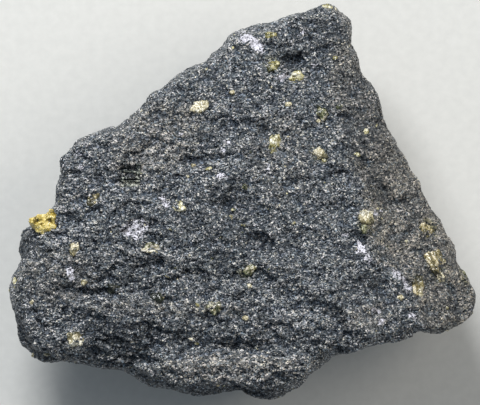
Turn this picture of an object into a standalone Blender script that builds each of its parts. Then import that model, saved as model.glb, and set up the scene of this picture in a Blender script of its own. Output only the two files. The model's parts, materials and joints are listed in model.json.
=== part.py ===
"""Olivine basalt hand specimen: a broken block of dark basalt with olivine crystals set in it.

The block lies on the flat spot of its broad back, at z = 0, with its best face up. X runs along its
longest side and Y across it. Sizes in this file are in millimetres, and MM turns them into metres where
a mesh is made.
"""

import math
import random
from typing import NamedTuple

import bmesh
import bpy
from mathutils import Matrix, Vector, noise
from mathutils.bvhtree import BVHTree

MM = 0.001
LENGTH = 74.6
WIDTH = 63.2
HEIGHT = 33.0

# The hub is the point that the outline is read about, and the middle is what the hidden sides face.
HUB = (0.0, -4.0)
MIDDLE_HEIGHT = 0.45 * HEIGHT
FINENESS = 7
STONE_TRIANGLES = 6000
SKIN_VOXEL = 0.32
SOCKET_GAP = 0.2
RAY_START = 120.0
DOWN = Vector((0.0, 0.0, -1.0))
UP = Vector((0.0, 0.0, 1.0))

# The block's outline seen from above, point by point counterclockwise from its right end.
OUTLINE = (
    (37.4, -15.2), (37.2, -13.9), (36.6, -12.5), (35.7, -11.3), (34.45, -9.8), (34.4, -7.7),
    (33.6, -6.1), (32.5, -4.5), (32.0, -2.9), (30.9, -1.5), (30.0, 0.1), (28.7, 2.5), (27.9, 3.9),
    (26.8, 5.9), (24.8, 9.1), (23.6, 11.9), (22.9, 12.8), (22.6, 14.7), (21.9, 16.9), (20.9, 18.5),
    (19.6, 19.8), (18.9, 21.5), (18.8, 23.7), (17.9, 24.1), (17.8, 26.1), (17.9, 28.0), (17.5, 29.0),
    (16.0, 29.9), (15.0, 30.9), (13.8, 31.6), (12.0, 31.1), (8.0, 29.8), (6.0, 29.0), (3.9, 28.6),
    (2.1, 28.5), (0.0, 27.7), (-2.0, 26.8), (-2.9, 25.2), (-4.0, 24.0), (-4.9, 23.7), (-5.4, 22.4),
    (-7.0, 22.0), (-8.9, 21.2), (-11.4, 19.2), (-12.5, 17.9), (-14.0, 17.4), (-16.3, 15.3), (-18.0, 13.4),
    (-19.9, 12.1), (-22.1, 11.4), (-25.4, 10.2), (-26.2, 9.7), (-28.7, 6.9), (-28.9, 6.0), (-28.6, 4.5),
    (-30.0, 2.5), (-30.1, 0.5), (-29.9, -0.6), (-30.6, -1.8), (-32.4, -3.0), (-34.3, -3.9), (-35.3, -4.6),
    (-35.5, -5.9), (-35.4, -7.5), (-35.1, -9.3), (-35.6, -10.0), (-36.1, -11.1), (-36.8, -12.0),
    (-37.2, -13.2), (-37.1, -14.3), (-36.2, -17.8), (-35.8, -19.4), (-35.6, -21.4), (-35.1, -22.8),
    (-34.4, -23.9), (-33.3, -24.9), (-32.2, -25.5), (-30.8, -25.8), (-28.1, -25.3), (-26.7, -25.9),
    (-23.0, -26.8), (-19.6, -26.9), (-17.3, -28.2), (-15.7, -29.1), (-13.8, -29.9), (-10.7, -30.4),
    (-7.0, -31.2), (-2.0, -30.7), (-0.2, -30.4), (2.6, -31.5), (4.4, -31.7), (6.5, -31.3), (8.0, -30.4),
    (9.9, -29.5), (10.8, -28.2), (13.8, -25.8), (14.5, -24.9), (16.0, -24.5), (22.0, -23.1),
    (26.4, -22.0), (28.7, -20.8), (30.0, -21.0), (31.8, -21.3), (33.0, -20.4), (35.0, -19.6),
    (36.6, -18.4), (37.2, -16.8),
)


class Facet(NamedTuple):
    """A broken plane of the block: a point on it, and its rise for each step along X and along Y."""

    x: float
    y: float
    z: float
    rise_x: float
    rise_y: float

    def height(self, x, y):
        return self.z + self.rise_x * (x - self.x) + self.rise_y * (y - self.y)


class Ledge(NamedTuple):
    """A step from (x0, y0) to (x1, y1): the rock drops over the riser and climbs back over the run.

    The drop lies on the right-hand side of someone walking from the first point to the second.
    """

    x0: float
    y0: float
    x1: float
    y1: float
    drop: float
    riser: float
    run: float

    def lift(self, x, y):
        along, aside, span = along_and_aside(x, y, self)
        ends = smooth_step(min(along, span - along) / (LEDGE_FADE * span) + 0.5)
        back = max(0.0, 1.0 - max(0.0, aside - self.riser) / self.run)
        return -self.drop * smooth_step(aside / self.riser) * back * ends


class Ridge(NamedTuple):
    """A rounded crest from (x0, y0) to (x1, y1)."""

    x0: float
    y0: float
    x1: float
    y1: float
    rise: float
    width: float

    def lift(self, x, y):
        along, aside, span = along_and_aside(x, y, self)
        past_end = max(0.0, -along, along - span)
        return self.rise * math.exp(-(aside**2 + past_end**2) / self.width**2)


class Hollow(NamedTuple):
    """A dished pit, long one way, turned by an angle in degrees."""

    x: float
    y: float
    length: float
    width: float
    turn: float
    depth: float

    def lift(self, x, y):
        angle = math.radians(self.turn)
        dx = x - self.x
        dy = y - self.y
        u = (dx * math.cos(angle) + dy * math.sin(angle)) / (0.5 * self.length)
        v = (dy * math.cos(angle) - dx * math.sin(angle)) / (0.5 * self.width)
        return -self.depth * math.exp(-((u * u + v * v) ** HOLLOW_EDGE))


class Shoulder(NamedTuple):
    """How wide the block's upper edge is, from the outline in to the face, at an angle about the hub."""

    angle: float
    width: float


class Crystal(NamedTuple):
    """An olivine crystal in the upper face: where it sits, its size, how far it is turned, and its tint."""

    name: str
    x: float
    y: float
    length: float
    width: float
    turn: float
    tint: str


class HiddenCrystal(NamedTuple):
    """An olivine crystal in a side or in the back, found by looking at the block's middle from outside."""

    name: str
    azimuth: float
    elevation: float
    length: float
    width: float
    turn: float
    tint: str


TOP_FACETS = (
    Facet(0.0, 0.0, 31.2, 0.03, -0.07),
    Facet(18.5, -4.0, 31.2, -0.44, -0.10),
    Facet(-25.0, -6.0, 30.0, 0.26, -0.04),
    Facet(-16.0, 9.0, 29.9, 0.10, -0.16),
    Facet(8.0, 18.0, 29.9, -0.06, -0.13),
    Facet(0.0, -22.5, 31.6, 0.02, 0.14),
)
BACK_FACETS = (
    Facet(0.0, 0.0, -3.2, 0.02, -0.02),
    Facet(-18.0, -6.0, 0.0, -0.80, -0.05),
    Facet(-15.0, -15.0, 0.0, -0.58, -0.55),
    Facet(2.0, -18.0, 0.0, 0.05, -1.02),
    Facet(17.0, -13.0, 0.0, 0.60, -0.50),
    Facet(20.0, -6.0, 0.0, 0.82, 0.10),
    Facet(13.0, 4.0, 0.0, 0.74, 0.36),
    Facet(7.0, 11.0, 0.0, 0.08, 0.80),
    Facet(-9.0, 4.0, 0.0, -0.48, 0.70),
)
CREASE_SOFTNESS = 0.45

SHOULDERS = (
    Shoulder(0.0, 1.3),
    Shoulder(55.0, 1.1),
    Shoulder(80.0, 1.4),
    Shoulder(125.0, 1.4),
    Shoulder(165.0, 1.5),
    Shoulder(178.0, 1.0),
    Shoulder(190.0, 2.0),
    Shoulder(215.0, 2.0),
    Shoulder(262.0, 2.0),
    Shoulder(300.0, 1.3),
    Shoulder(360.0, 1.3),
)

LEDGES = (
    Ledge(-31.0, -16.6, -21.0, -17.6, 0.9, 1.2, 3.5),
    Ledge(-24.0, -8.4, -4.0, -9.0, 0.7, 5.0, 5.5),
    Ledge(-24.0, -18.4, -13.0, -18.8, 2.4, 7.0, 3.2),
    Ledge(-14.0, -18.8, 3.0, -20.0, 0.8, 3.4, 3.2),
    Ledge(-29.0, -22.6, -22.5, -23.1, 1.2, 1.3, 2.6),
    Ledge(-6.0, -21.6, 9.0, -20.8, 0.6, 1.4, 2.4),
    Ledge(-14.5, -29.3, 11.0, -29.1, 2.4, 1.6, 9.0),
    Ledge(12.0, -22.4, 27.0, -19.6, 0.4, 1.2, 4.0),
    Ledge(-0.8, 22.5, 4.4, 22.6, 0.9, 0.6, 1.8),
    Ledge(5.6, 23.4, 9.8, 22.9, 1.3, 0.7, 1.8),
    Ledge(-27.4, 0.5, -24.2, 1.2, 0.8, 0.6, 1.6),
    Ledge(-17.4, -8.8, -11.6, -8.9, 0.7, 1.1, 2.2),
    Ledge(-10.8, -10.2, -5.2, -10.4, 0.7, 1.2, 2.4),
    Ledge(-29.0, -12.9, -20.0, -13.5, 0.9, 0.9, 2.2),
    Ledge(9.0, -12.4, 20.0, -20.0, 0.4, 2.0, 3.0),
    Ledge(17.0, -11.0, 24.6, -11.8, 0.5, 1.6, 3.4),
    Ledge(-9.0, 7.4, -2.2, 7.6, 1.0, 0.8, 2.4),
    Ledge(-6.0, 2.9, 3.4, 2.1, 0.8, 3.4, 5.0),
    Ledge(0.6, -4.6, 5.4, -6.2, 1.2, 1.1, 2.6),
    Ledge(-22.0, -3.8, -14.0, -2.8, 0.7, 0.8, 2.0),
    Ledge(3.0, 12.4, 12.0, 10.4, 0.7, 0.8, 2.0),
)
RIDGES = (
    Ridge(4.2, -9.8, 14.7, -15.8, 0.9, 1.4),
    Ridge(14.7, -15.8, 20.2, -20.6, 0.8, 1.3),
    Ridge(14.0, -9.5, 15.5, -14.0, 0.6, 1.1),
    Ridge(18.5, 0.0, 21.0, -9.5, 0.5, 1.2),
    Ridge(21.0, -9.5, 26.8, -14.5, 0.7, 1.1),
    Ridge(26.2, -16.5, 28.3, -20.0, 0.6, 1.1),
    Ridge(-14.0, -25.6, 9.0, -26.0, 0.6, 1.6),
    Ridge(-6.0, -2.0, -1.0, 4.0, 0.4, 1.3),
)
HOLLOWS = (
    Hollow(-34.2, -6.4, 3.2, 5.0, 10.0, 2.6),
    Hollow(-14.6, -10.4, 5.0, 3.0, 0.0, 0.6),
    Hollow(2.6, -7.2, 4.6, 3.0, -35.0, 0.6),
    Hollow(-1.2, -0.4, 4.4, 3.4, 20.0, 0.7),
    Hollow(20.6, -14.0, 6.0, 3.4, -10.0, 0.3),
    Hollow(8.0, 22.4, 3.4, 1.6, 10.0, 0.7),
    Hollow(33.7, -17.5, 2.4, 1.2, 0.0, 0.8),
    Hollow(-29.6, -20.2, 4.0, 2.6, -10.0, 0.7),
    Hollow(-27.0, -3.6, 4.6, 2.6, 15.0, 0.6),
    Hollow(0.0, -11.4, 4.4, 3.0, 0.0, 0.6),
    Hollow(5.0, -30.0, 8.0, 3.0, 0.0, 0.8),
)

# Cells of the broken surface: their size along X, Y and Z, the tilt of each cell, and the even lean
# that makes the treads of the upper face fall towards +Y and its risers face -Y.
TOP_CELL = Vector((5.6, 2.9, 6.0))
SIDE_CELL = Vector((8.6, 7.8, 6.8))
SIDE_CHIP = Vector((3.6, 3.4, 2.9))
TOP_TILT = 0.12
SIDE_TILT = 0.30
CHIP_TILT = 0.20
TOP_LEAN = -0.08
SIDE_SET_IN = 0.5
CELL_DRAW = 37.0
LUMP_SIZE = 13.0
LUMP_RISE = 0.9
TOP_CALM = 0.6
RIM_QUIET = 3.0
RIM_RELIEF = 0.08

# How steeply the upper face's relief gives way to the sides', how much of a ledge's length each of its
# ends fades over, and how sharp the edge of a hollow is.
FACING_GAIN = 1.6
FACING_START = 0.2
LEDGE_FADE = 0.3
HOLLOW_EDGE = 1.5

# The nodule's grains: middle along X, Y and Z, half width, and half height. It is seated by the height
# of the rock a little way in from the edge.
NODULE_AT = (-31.6, -3.25)
NODULE_FOOT = (-30.7, -3.8)
NODULE_GRAINS = (
    (-1.0, 0.05, 0.1, 0.85, 1.1), (1.25, 0.75, 0.2, 0.95, 1.1), (0.25, -0.55, 0.1, 1.05, 1.0),
    (-1.6, 0.1, -0.15, 0.6, 0.8), (1.25, -0.4, 0.0, 0.8, 0.9), (0.35, -1.35, -0.2, 0.6, 0.8),
    (0.1, 0.15, -0.9, 1.12, 1.45), (1.3, 1.5, -0.1, 0.5, 0.75), (-0.6, -1.05, -0.05, 0.6, 0.75),
)
NODULE_SINK = 0.9
STEPPED_AT = (-17.7, 4.3)
STEPPED_SIZE = (3.0, 3.4, 1.8)
STEP_EDGES = (1.4, 0.1, -0.9)
STEP_FALL = 0.35
STEP_RISER = 0.15
STEPPED_SINK = 0.35

CRYSTALS = (
    Crystal("olivine_crest_left", 4.5, 26.4, 1.9, 1.5, 10.0, "yellow"),
    Crystal("olivine_crest_ledge", 4.8, 21.6, 1.9, 1.6, 70.0, "yellow"),
    Crystal("olivine_below_pit", 8.8, 19.9, 2.7, 1.6, 5.0, "yellow"),
    Crystal("olivine_upper_left", -6.8, 15.0, 2.7, 1.9, 8.0, "cream"),
    Crystal("olivine_upper_dark", 12.8, 14.2, 1.5, 1.9, 0.0, "green"),
    Crystal("olivine_upright", 5.3, 9.2, 1.5, 2.7, -5.0, "yellow"),
    Crystal("olivine_cluster_upper", 12.3, 7.5, 2.0, 1.7, -35.0, "yellow"),
    Crystal("olivine_centre_left", -10.1, -0.7, 1.7, 1.4, 30.0, "yellow"),
    Crystal("olivine_crescent", -14.3, -7.1, 2.7, 1.4, -4.0, "green"),
    Crystal("olivine_near_crack", -23.6, 0.4, 1.6, 1.5, 0.0, "yellow"),
    Crystal("olivine_left", -26.6, -7.4, 1.6, 1.5, 20.0, "cream"),
    Crystal("olivine_left_dark", -20.4, -14.0, 1.6, 1.4, 0.0, "green"),
    Crystal("olivine_ledge_dark", -13.4, -15.0, 1.6, 1.5, 15.0, "green"),
    Crystal("olivine_lower_left", -26.3, -21.7, 2.1, 1.8, 10.0, "cream"),
    Crystal("olivine_lower_middle", -4.5, -16.8, 2.0, 1.6, 0.0, "green"),
    Crystal("olivine_diagonal", 1.3, -10.8, 2.0, 1.3, 40.0, "green"),
    Crystal("olivine_ridge_pale", 19.8, -2.6, 1.9, 2.1, 0.0, "cream"),
    Crystal("olivine_right_edge", 29.6, -4.4, 2.4, 1.6, -50.0, "yellow"),
    Crystal("olivine_right_cluster", 30.9, -9.7, 2.2, 3.2, 20.0, "yellow"),
    Crystal("olivine_right_lower", 28.0, -13.2, 1.5, 2.7, 10.0, "yellow"),
)
HIDDEN_CRYSTALS = (
    HiddenCrystal("olivine_side_front", 262.0, -8.0, 2.6, 1.8, 15.0, "yellow"),
    HiddenCrystal("olivine_side_front_small", 238.0, -16.0, 1.9, 1.5, 60.0, "green"),
    HiddenCrystal("olivine_side_right", 12.0, -12.0, 2.4, 1.7, 80.0, "yellow"),
    HiddenCrystal("olivine_side_upper", 52.0, -20.0, 2.0, 2.4, 30.0, "cream"),
    HiddenCrystal("olivine_side_left", 128.0, -20.0, 2.8, 1.9, 0.0, "yellow"),
    HiddenCrystal("olivine_side_back", 92.0, -12.0, 2.0, 1.6, 45.0, "green"),
    HiddenCrystal("olivine_under_left", 200.0, -30.0, 2.4, 2.0, 20.0, "yellow"),
    HiddenCrystal("olivine_under_right", 320.0, -28.0, 2.2, 1.6, 70.0, "cream"),
)
CRYSTAL_DEPTH = 0.8
CRYSTAL_SINK = 0.18
CRYSTAL_LEVELLING = 1.5
STEPPED_LEVELLING = 3.0
STEEP = 0.8
GRAIN_CUTS = 9
GRAIN_CUT_NEAR = 0.80
GRAIN_CUT_FAR = 0.98
GRAIN_SLIMNESS = 0.92
UPPER_SEED = 100
HIDDEN_SEED = 300
NODULE_SEED = 500

TINTS = {
    "yellow": (0.50, 0.43, 0.11, 1.0),
    "cream": (0.62, 0.56, 0.33, 1.0),
    "green": (0.12, 0.14, 0.05, 1.0),
}
OLIVINE_ROUGHNESS = 0.35
BASALT_COLOUR = (0.085, 0.092, 0.098, 1.0)
BASALT_ROUGHNESS = 0.75
PARTS = "olivine_basalt_specimen"
SOCKETS = "socket_cutters"
GRAINS = "nodule_grains"


def smooth_step(value):
    """0 below 0, 1 above 1, and an even curve between."""
    value = min(1.0, max(0.0, value))
    return value * value * (3.0 - 2.0 * value)


def along_and_aside(x, y, line):
    """How far a point lies along a line, how far to the right of it, and the line's length."""
    dx = line.x1 - line.x0
    dy = line.y1 - line.y0
    span = math.hypot(dx, dy)
    along = ((x - line.x0) * dx + (y - line.y0) * dy) / span
    aside = ((x - line.x0) * dy - (y - line.y0) * dx) / span
    return along, aside, span


def soft_minimum(values):
    """The lowest value, rounded off where two come close, as a worn crease is."""
    lowest = min(values)
    total = sum(math.exp((lowest - value) / CREASE_SOFTNESS) for value in values)
    return lowest - CREASE_SOFTNESS * math.log(total)


def outline_by_angle():
    """The outline as (angle about the hub, distance from it), in order of angle, closed at both ends."""
    polar = []
    for x, y in OUTLINE:
        dx = x - HUB[0]
        dy = y - HUB[1]
        polar.append((math.atan2(dy, dx) % math.tau, math.hypot(dx, dy)))
    polar.sort()
    first = (polar[0][0] + math.tau, polar[0][1])
    last = (polar[-1][0] - math.tau, polar[-1][1])
    return [last, *polar, first]


def reach(polar, angle):
    """Distance from the hub to the outline at an angle, along the straight stretch between two points."""
    for (angle_a, far_a), (angle_b, far_b) in zip(polar, polar[1:]):
        if angle_a <= angle <= angle_b:
            part_a = far_a * math.sin(angle - angle_a)
            part_b = far_b * math.sin(angle_b - angle)
            return far_a * far_b * math.sin(angle_b - angle_a) / (part_a + part_b)
    raise ValueError("the outline doesn't close")


def shoulder_width(angle):
    """The upper edge's width at an angle about the hub, between the nearest two that are given."""
    degrees = math.degrees(angle) % 360.0
    for before, after in zip(SHOULDERS, SHOULDERS[1:]):
        if before.angle <= degrees <= after.angle:
            share = smooth_step((degrees - before.angle) / (after.angle - before.angle))
            return before.width + (after.width - before.width) * share
    raise ValueError("the shoulders don't close")


def top_height(x, y):
    """Height of the upper face: its facets, with the ledges, ridges and hollows that were read on it."""
    ground = soft_minimum([facet.height(x, y) for facet in TOP_FACETS])
    return ground + sum(shape.lift(x, y) for shape in (*LEDGES, *RIDGES, *HOLLOWS))


def back_height(x, y):
    """Height of the hidden lower side: the steepest of its facets at each place."""
    return -soft_minimum([-facet.height(x, y) for facet in BACK_FACETS])


def block_point(direction, polar):
    """The point of the block that a direction of the unit ball becomes, and how far it is from the rim."""
    angle = math.atan2(direction.y, direction.x) % math.tau
    spread = min(1.0, math.hypot(direction.x, direction.y))
    far = reach(polar, angle)
    toward = Vector((math.cos(angle), math.sin(angle)))
    edge_x, edge_y = Vector(HUB) + toward * far
    x, y = Vector(HUB) + toward * far * spread
    rim = back_height(edge_x, edge_y)
    if direction.z < 0.0:
        height = back_height(x, y)
    else:
        inside = (1.0 - spread) * far / shoulder_width(angle)
        height = rim + (top_height(x, y) - rim) * (1.0 - max(0.0, 1.0 - inside) ** 2)
    return Vector((x, y, height)), math.hypot((1.0 - spread) * far, height - rim)


def cell_relief(point, cell, tilt, lean):
    """How far the broken surface stands out at a point: each cell is a small facet with its own tilt."""
    scaled = Vector((point.x / cell.x, point.y / cell.y, point.z / cell.z))
    _, centres = noise.voronoi(scaled)
    centre = centres[0]
    away = scaled - centre
    offset = Vector((away.x * cell.x, away.y * cell.y, away.z * cell.z))
    slope = (noise.cell_vector(centre * CELL_DRAW) * 2.0 - Vector((1.0, 1.0, 1.0))) * tilt
    slope.y += lean
    return offset.dot(slope)


def relief(point, normal, from_rim):
    """Lumps and small facets, quiet along the rim so that the outline stays as it was read."""
    facing_up = smooth_step(normal.z * FACING_GAIN - FACING_START)
    top = cell_relief(point, TOP_CELL, TOP_TILT, TOP_LEAN)
    side = cell_relief(point, SIDE_CELL, SIDE_TILT, 0.0) + cell_relief(point, SIDE_CHIP, CHIP_TILT, 0.0)
    lump = LUMP_RISE * noise.noise(point / LUMP_SIZE) * (1.0 - TOP_CALM * facing_up)
    loud = RIM_RELIEF + (1.0 - RIM_RELIEF) * smooth_step(from_rim / RIM_QUIET)
    return loud * (top * facing_up + (side - SIDE_SET_IN) * (1.0 - facing_up) + lump)


def inside_outline(point, polar):
    """The point, drawn back to the outline where the relief has carried it past."""
    dx = point.x - HUB[0]
    dy = point.y - HUB[1]
    share = min(1.0, reach(polar, math.atan2(dy, dx) % math.tau) / max(MM, math.hypot(dx, dy)))
    return Vector((HUB[0] + dx * share, HUB[1] + dy * share, point.z))


def shape_block():
    """The whole block as a fine closed mesh, in millimetres: a ball moved out to facets, ledges and pits."""
    polar = outline_by_angle()
    block = bmesh.new()
    bmesh.ops.create_icosphere(block, subdivisions=FINENESS, radius=1.0)
    from_rim = {}
    for vert in block.verts:
        vert.co, from_rim[vert] = block_point(vert.co.copy(), polar)
    block.normal_update()
    moves = [relief(vert.co, vert.normal, from_rim[vert]) * vert.normal for vert in block.verts]
    for vert, move in zip(block.verts, moves):
        vert.co = inside_outline(vert.co + move, polar)
    return block


def with_modifier(mesh, kind, **settings):
    """The mesh that one modifier makes of another, which is removed."""
    holder = bpy.data.objects.new("holder", mesh)
    bpy.context.scene.collection.objects.link(holder)
    modifier = holder.modifiers.new(kind.title(), kind)
    for setting, value in settings.items():
        setattr(modifier, setting, value)
    made = bpy.data.meshes.new_from_object(holder.evaluated_get(bpy.context.evaluated_depsgraph_get()))
    bpy.data.objects.remove(holder)
    bpy.data.meshes.remove(mesh)
    return made


def thin_out(mesh, triangles):
    """The same shape as one clean skin with fewer triangles, kept where the shape bends most."""
    skin = with_modifier(mesh, "REMESH", mode="VOXEL", voxel_size=SKIN_VOXEL)
    skin = with_modifier(skin, "TRIANGULATE")
    return with_modifier(skin, "DECIMATE", ratio=triangles / len(skin.polygons))


def cut_away(solid, at, normal):
    """Removes what lies past a plane and closes the solid with one flat face."""
    geometry = [*solid.verts, *solid.edges, *solid.faces]
    cut = bmesh.ops.bisect_plane(solid, geom=geometry, plane_co=at, plane_no=normal, clear_outer=True)
    edges = [part for part in cut["geom_cut"] if isinstance(part, bmesh.types.BMEdge)]
    if edges:
        bmesh.ops.contextual_create(solid, geom=edges)


def make_stone(material):
    """The basalt: thinned, cut flat where it rests, and brought to its stated length, width and height."""
    block = shape_block()
    fine = bpy.data.meshes.new("basalt_stone")
    block.to_mesh(fine)
    block.free()
    stone = bmesh.new()
    stone.from_mesh(thin_out(fine, STONE_TRIANGLES))
    cut_away(stone, Vector((0.0, 0.0, 0.0)), DOWN)
    lows = [min(v.co[axis] for v in stone.verts) for axis in range(3)]
    highs = [max(v.co[axis] for v in stone.verts) for axis in range(3)]
    middle = Vector(((lows[0] + highs[0]) / 2.0, (lows[1] + highs[1]) / 2.0, lows[2]))
    bmesh.ops.translate(stone, verts=stone.verts, vec=-middle)
    sides = [high - low for low, high in zip(lows, highs)]
    scale = Vector((LENGTH / sides[0], WIDTH / sides[1], HEIGHT / sides[2])) * MM
    bmesh.ops.scale(stone, verts=stone.verts, vec=scale)
    bmesh.ops.recalc_face_normals(stone, faces=stone.faces)
    return add_object("basalt_stone", stone, material)


def faceted_grain(half_sizes, seed, grow=0.0):
    """A flat-faced crystal about its own centre, in millimetres: a block with its corners cut away.

    A grow above 0 makes the socket that the crystal sits in.
    """
    rng = random.Random(seed)
    grain = bmesh.new()
    bmesh.ops.create_cube(grain, size=2.0)
    for _ in range(GRAIN_CUTS):
        normal = Vector((rng.gauss(0.0, 1.0), rng.gauss(0.0, 1.0), rng.gauss(0.0, 1.0))).normalized()
        cut_away(grain, normal * rng.uniform(GRAIN_CUT_NEAR, GRAIN_CUT_FAR), normal)
    sizes = Vector([half + grow for half in half_sizes])
    bmesh.ops.scale(grain, verts=grain.verts, vec=sizes * MM)
    return grain


def stepped_crystal():
    """A dark crystal split along its cleavage, so that its top falls in steps towards -Y."""
    length, width, depth = (side / 2.0 for side in STEPPED_SIZE)
    height = depth
    profile = [(-width, -depth), (width, -depth), (width, height)]
    for edge in STEP_EDGES:
        profile.append((edge, height))
        height -= STEP_FALL
        profile.append((edge - STEP_RISER, height))
    profile.append((-width, height))
    crystal = bmesh.new()
    verts = [crystal.verts.new((-length * MM, y * MM, z * MM)) for y, z in profile]
    grown = bmesh.ops.extrude_face_region(crystal, geom=[crystal.faces.new(verts)])
    moved = [part for part in grown["geom"] if isinstance(part, bmesh.types.BMVert)]
    bmesh.ops.translate(crystal, verts=moved, vec=Vector((2.0 * length * MM, 0.0, 0.0)))
    bmesh.ops.recalc_face_normals(crystal, faces=crystal.faces)
    return crystal


def stepped_socket():
    """The plain block of space that the stepped crystal sits in."""
    space = bmesh.new()
    bmesh.ops.create_cube(space, size=1.0)
    sides = Vector([side + 2.0 * SOCKET_GAP for side in STEPPED_SIZE])
    bmesh.ops.scale(space, verts=space.verts, vec=sides * MM)
    return space


def add_object(name, shape, material, collection=PARTS):
    """A new object from a bmesh, with its material, in a collection."""
    mesh = bpy.data.meshes.new(name)
    shape.to_mesh(mesh)
    shape.free()
    mesh.materials.append(material)
    obj = bpy.data.objects.new(name, mesh)
    bpy.data.collections[collection].objects.link(obj)
    return obj


def add_helper(name, shape, material, collection):
    """A helper object that shapes another one and is left out of the model itself."""
    helper = add_object(name, shape, material, collection)
    helper.hide_render = True
    helper.display_type = "WIRE"
    return helper


def seat(hit, normal, turn, sink):
    """The place of a crystal: its own Z along the surface's normal, sunk a little into the rock."""
    level = Vector((1.0, 0.0, 0.0)) if abs(normal.x) < STEEP else Vector((0.0, 1.0, 0.0))
    across = (level - normal * level.dot(normal)).normalized()
    upright = Matrix((across, normal.cross(across), normal)).transposed().to_4x4()
    turned = Matrix.Rotation(math.radians(turn), 4, "Z")
    return Matrix.Translation(hit - normal * sink * MM) @ upright @ turned


def look_down(surface, x, y):
    """Where a straight look down at (x, y) meets the rock, and the surface's normal there."""
    hit, normal, _, _ = surface.ray_cast(Vector((x, y, RAY_START)) * MM, DOWN)
    return hit, normal


def place_crystal(crystal, hit, normal, seed, material):
    """One crystal with the cutter of its socket, both in the same place."""
    depth = CRYSTAL_DEPTH * min(crystal.length, crystal.width)
    halves = (crystal.length / 2.0, crystal.width / 2.0, depth / 2.0)
    placed = add_object(crystal.name, faceted_grain(halves, seed), material)
    space = faceted_grain(halves, seed, SOCKET_GAP)
    cutter = add_helper(f"socket_{crystal.name}", space, material, SOCKETS)
    placed.matrix_world = seat(hit, normal, crystal.turn, CRYSTAL_SINK * depth)
    cutter.matrix_world = placed.matrix_world


def make_upper_crystals(surface, materials):
    """The crystals that the upper face shows, each set where a straight look down meets the rock."""
    for number, crystal in enumerate(CRYSTALS):
        hit, normal = look_down(surface, crystal.x, crystal.y)
        normal = (normal + UP * CRYSTAL_LEVELLING).normalized()
        place_crystal(crystal, hit, normal, UPPER_SEED + number, materials[crystal.tint])


def make_hidden_crystals(surface, materials):
    """Crystals in the sides and the back, where the rock holds them as it does in the upper face."""
    middle = Vector((*HUB, MIDDLE_HEIGHT)) * MM
    for number, crystal in enumerate(HIDDEN_CRYSTALS):
        azimuth = math.radians(crystal.azimuth)
        elevation = math.radians(crystal.elevation)
        flat = math.cos(elevation)
        outward = Vector((flat * math.cos(azimuth), flat * math.sin(azimuth), math.sin(elevation)))
        hit, normal, _, _ = surface.ray_cast(middle + outward * RAY_START * MM, -outward)
        place_crystal(crystal, hit, normal, HIDDEN_SEED + number, materials[crystal.tint])


def nodule_grain(index, grow):
    """One grain of the nodule, moved to its place in it."""
    x, y, z, half, half_up = NODULE_GRAINS[index]
    solid = faceted_grain((half, half * GRAIN_SLIMNESS, half_up), NODULE_SEED + index, grow)
    bmesh.ops.translate(solid, verts=solid.verts, vec=Vector((x, y, z)) * MM)
    return solid


def make_nodule(surface, material):
    """The big cluster at the left end: grains grown together into one solid, and its socket."""
    foot, _ = look_down(surface, *NODULE_FOOT)
    place = Matrix.Translation(Vector((NODULE_AT[0] * MM, NODULE_AT[1] * MM, foot.z - NODULE_SINK * MM)))
    nodule = add_object("olivine_nodule", nodule_grain(0, 0.0), material)
    socket = add_helper("socket_olivine_nodule", nodule_grain(0, SOCKET_GAP), material, SOCKETS)
    for cluster, grow in ((nodule, 0.0), (socket, SOCKET_GAP)):
        cluster.matrix_world = place
        for index in range(1, len(NODULE_GRAINS)):
            grain = add_helper(f"{cluster.name}_{index}", nodule_grain(index, grow), material, GRAINS)
            grain.matrix_world = place
            join = cluster.modifiers.new(grain.name, "BOOLEAN")
            join.operation = "UNION"
            join.object = grain


def make_stepped(surface, material):
    """The dark stepped crystal of the upper left, and its socket."""
    hit, normal = look_down(surface, *STEPPED_AT)
    normal = (normal + UP * STEPPED_LEVELLING).normalized()
    stepped = add_object("olivine_stepped", stepped_crystal(), material)
    cutter = add_helper("socket_olivine_stepped", stepped_socket(), material, SOCKETS)
    stepped.matrix_world = seat(hit, normal, 0.0, STEPPED_SINK * STEPPED_SIZE[2])
    cutter.matrix_world = stepped.matrix_world


def cut_sockets(stone):
    """Opens a socket in the stone for every crystal."""
    for cutter in bpy.data.collections[SOCKETS].objects:
        socket = stone.modifiers.new(cutter.name, "BOOLEAN")
        socket.operation = "DIFFERENCE"
        socket.object = cutter


def make_material(name, colour, roughness):
    """A plain material with its colour and roughness."""
    material = bpy.data.materials.new(name)
    material.use_nodes = True
    shader = material.node_tree.nodes["Principled BSDF"]
    shader.inputs["Base Color"].default_value = colour
    shader.inputs["Roughness"].default_value = roughness
    shader.inputs["Metallic"].default_value = 0.0
    material.diffuse_color = colour
    return material


def clear_scene():
    """Removes what the scene starts with, and makes the collections of the parts and of their helpers."""
    for obj in list(bpy.data.objects):
        bpy.data.objects.remove(obj)
    for name in (PARTS, SOCKETS, GRAINS):
        bpy.context.scene.collection.children.link(bpy.data.collections.new(name))


def main():
    clear_scene()
    materials = {}
    for tint, colour in TINTS.items():
        materials[tint] = make_material(f"olivine_{tint}", colour, OLIVINE_ROUGHNESS)
    stone = make_stone(make_material("basalt", BASALT_COLOUR, BASALT_ROUGHNESS))
    surface = BVHTree.FromObject(stone, bpy.context.evaluated_depsgraph_get())
    make_upper_crystals(surface, materials)
    make_hidden_crystals(surface, materials)
    make_nodule(surface, materials["yellow"])
    make_stepped(surface, materials["green"])
    cut_sockets(stone)


main()
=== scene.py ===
"""Looks of the olivine basalt specimen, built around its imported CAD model.

The stone lies flat on its back with its best face up, as it was photographed from straight above. The
CAD stone gives the block's form. Here a copy of it gets the fine broken relief and the grain of the
groundmass, and every crystal node gets a granular crystal in its place. Sizes in this file are in
millimetres: a CAD copy is brought to millimetres when it is taken, and a finished piece goes back to
metres when it is added.
"""

import json
import logging
import math
import random
from collections.abc import Iterable
from dataclasses import dataclass
from enum import Enum

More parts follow.
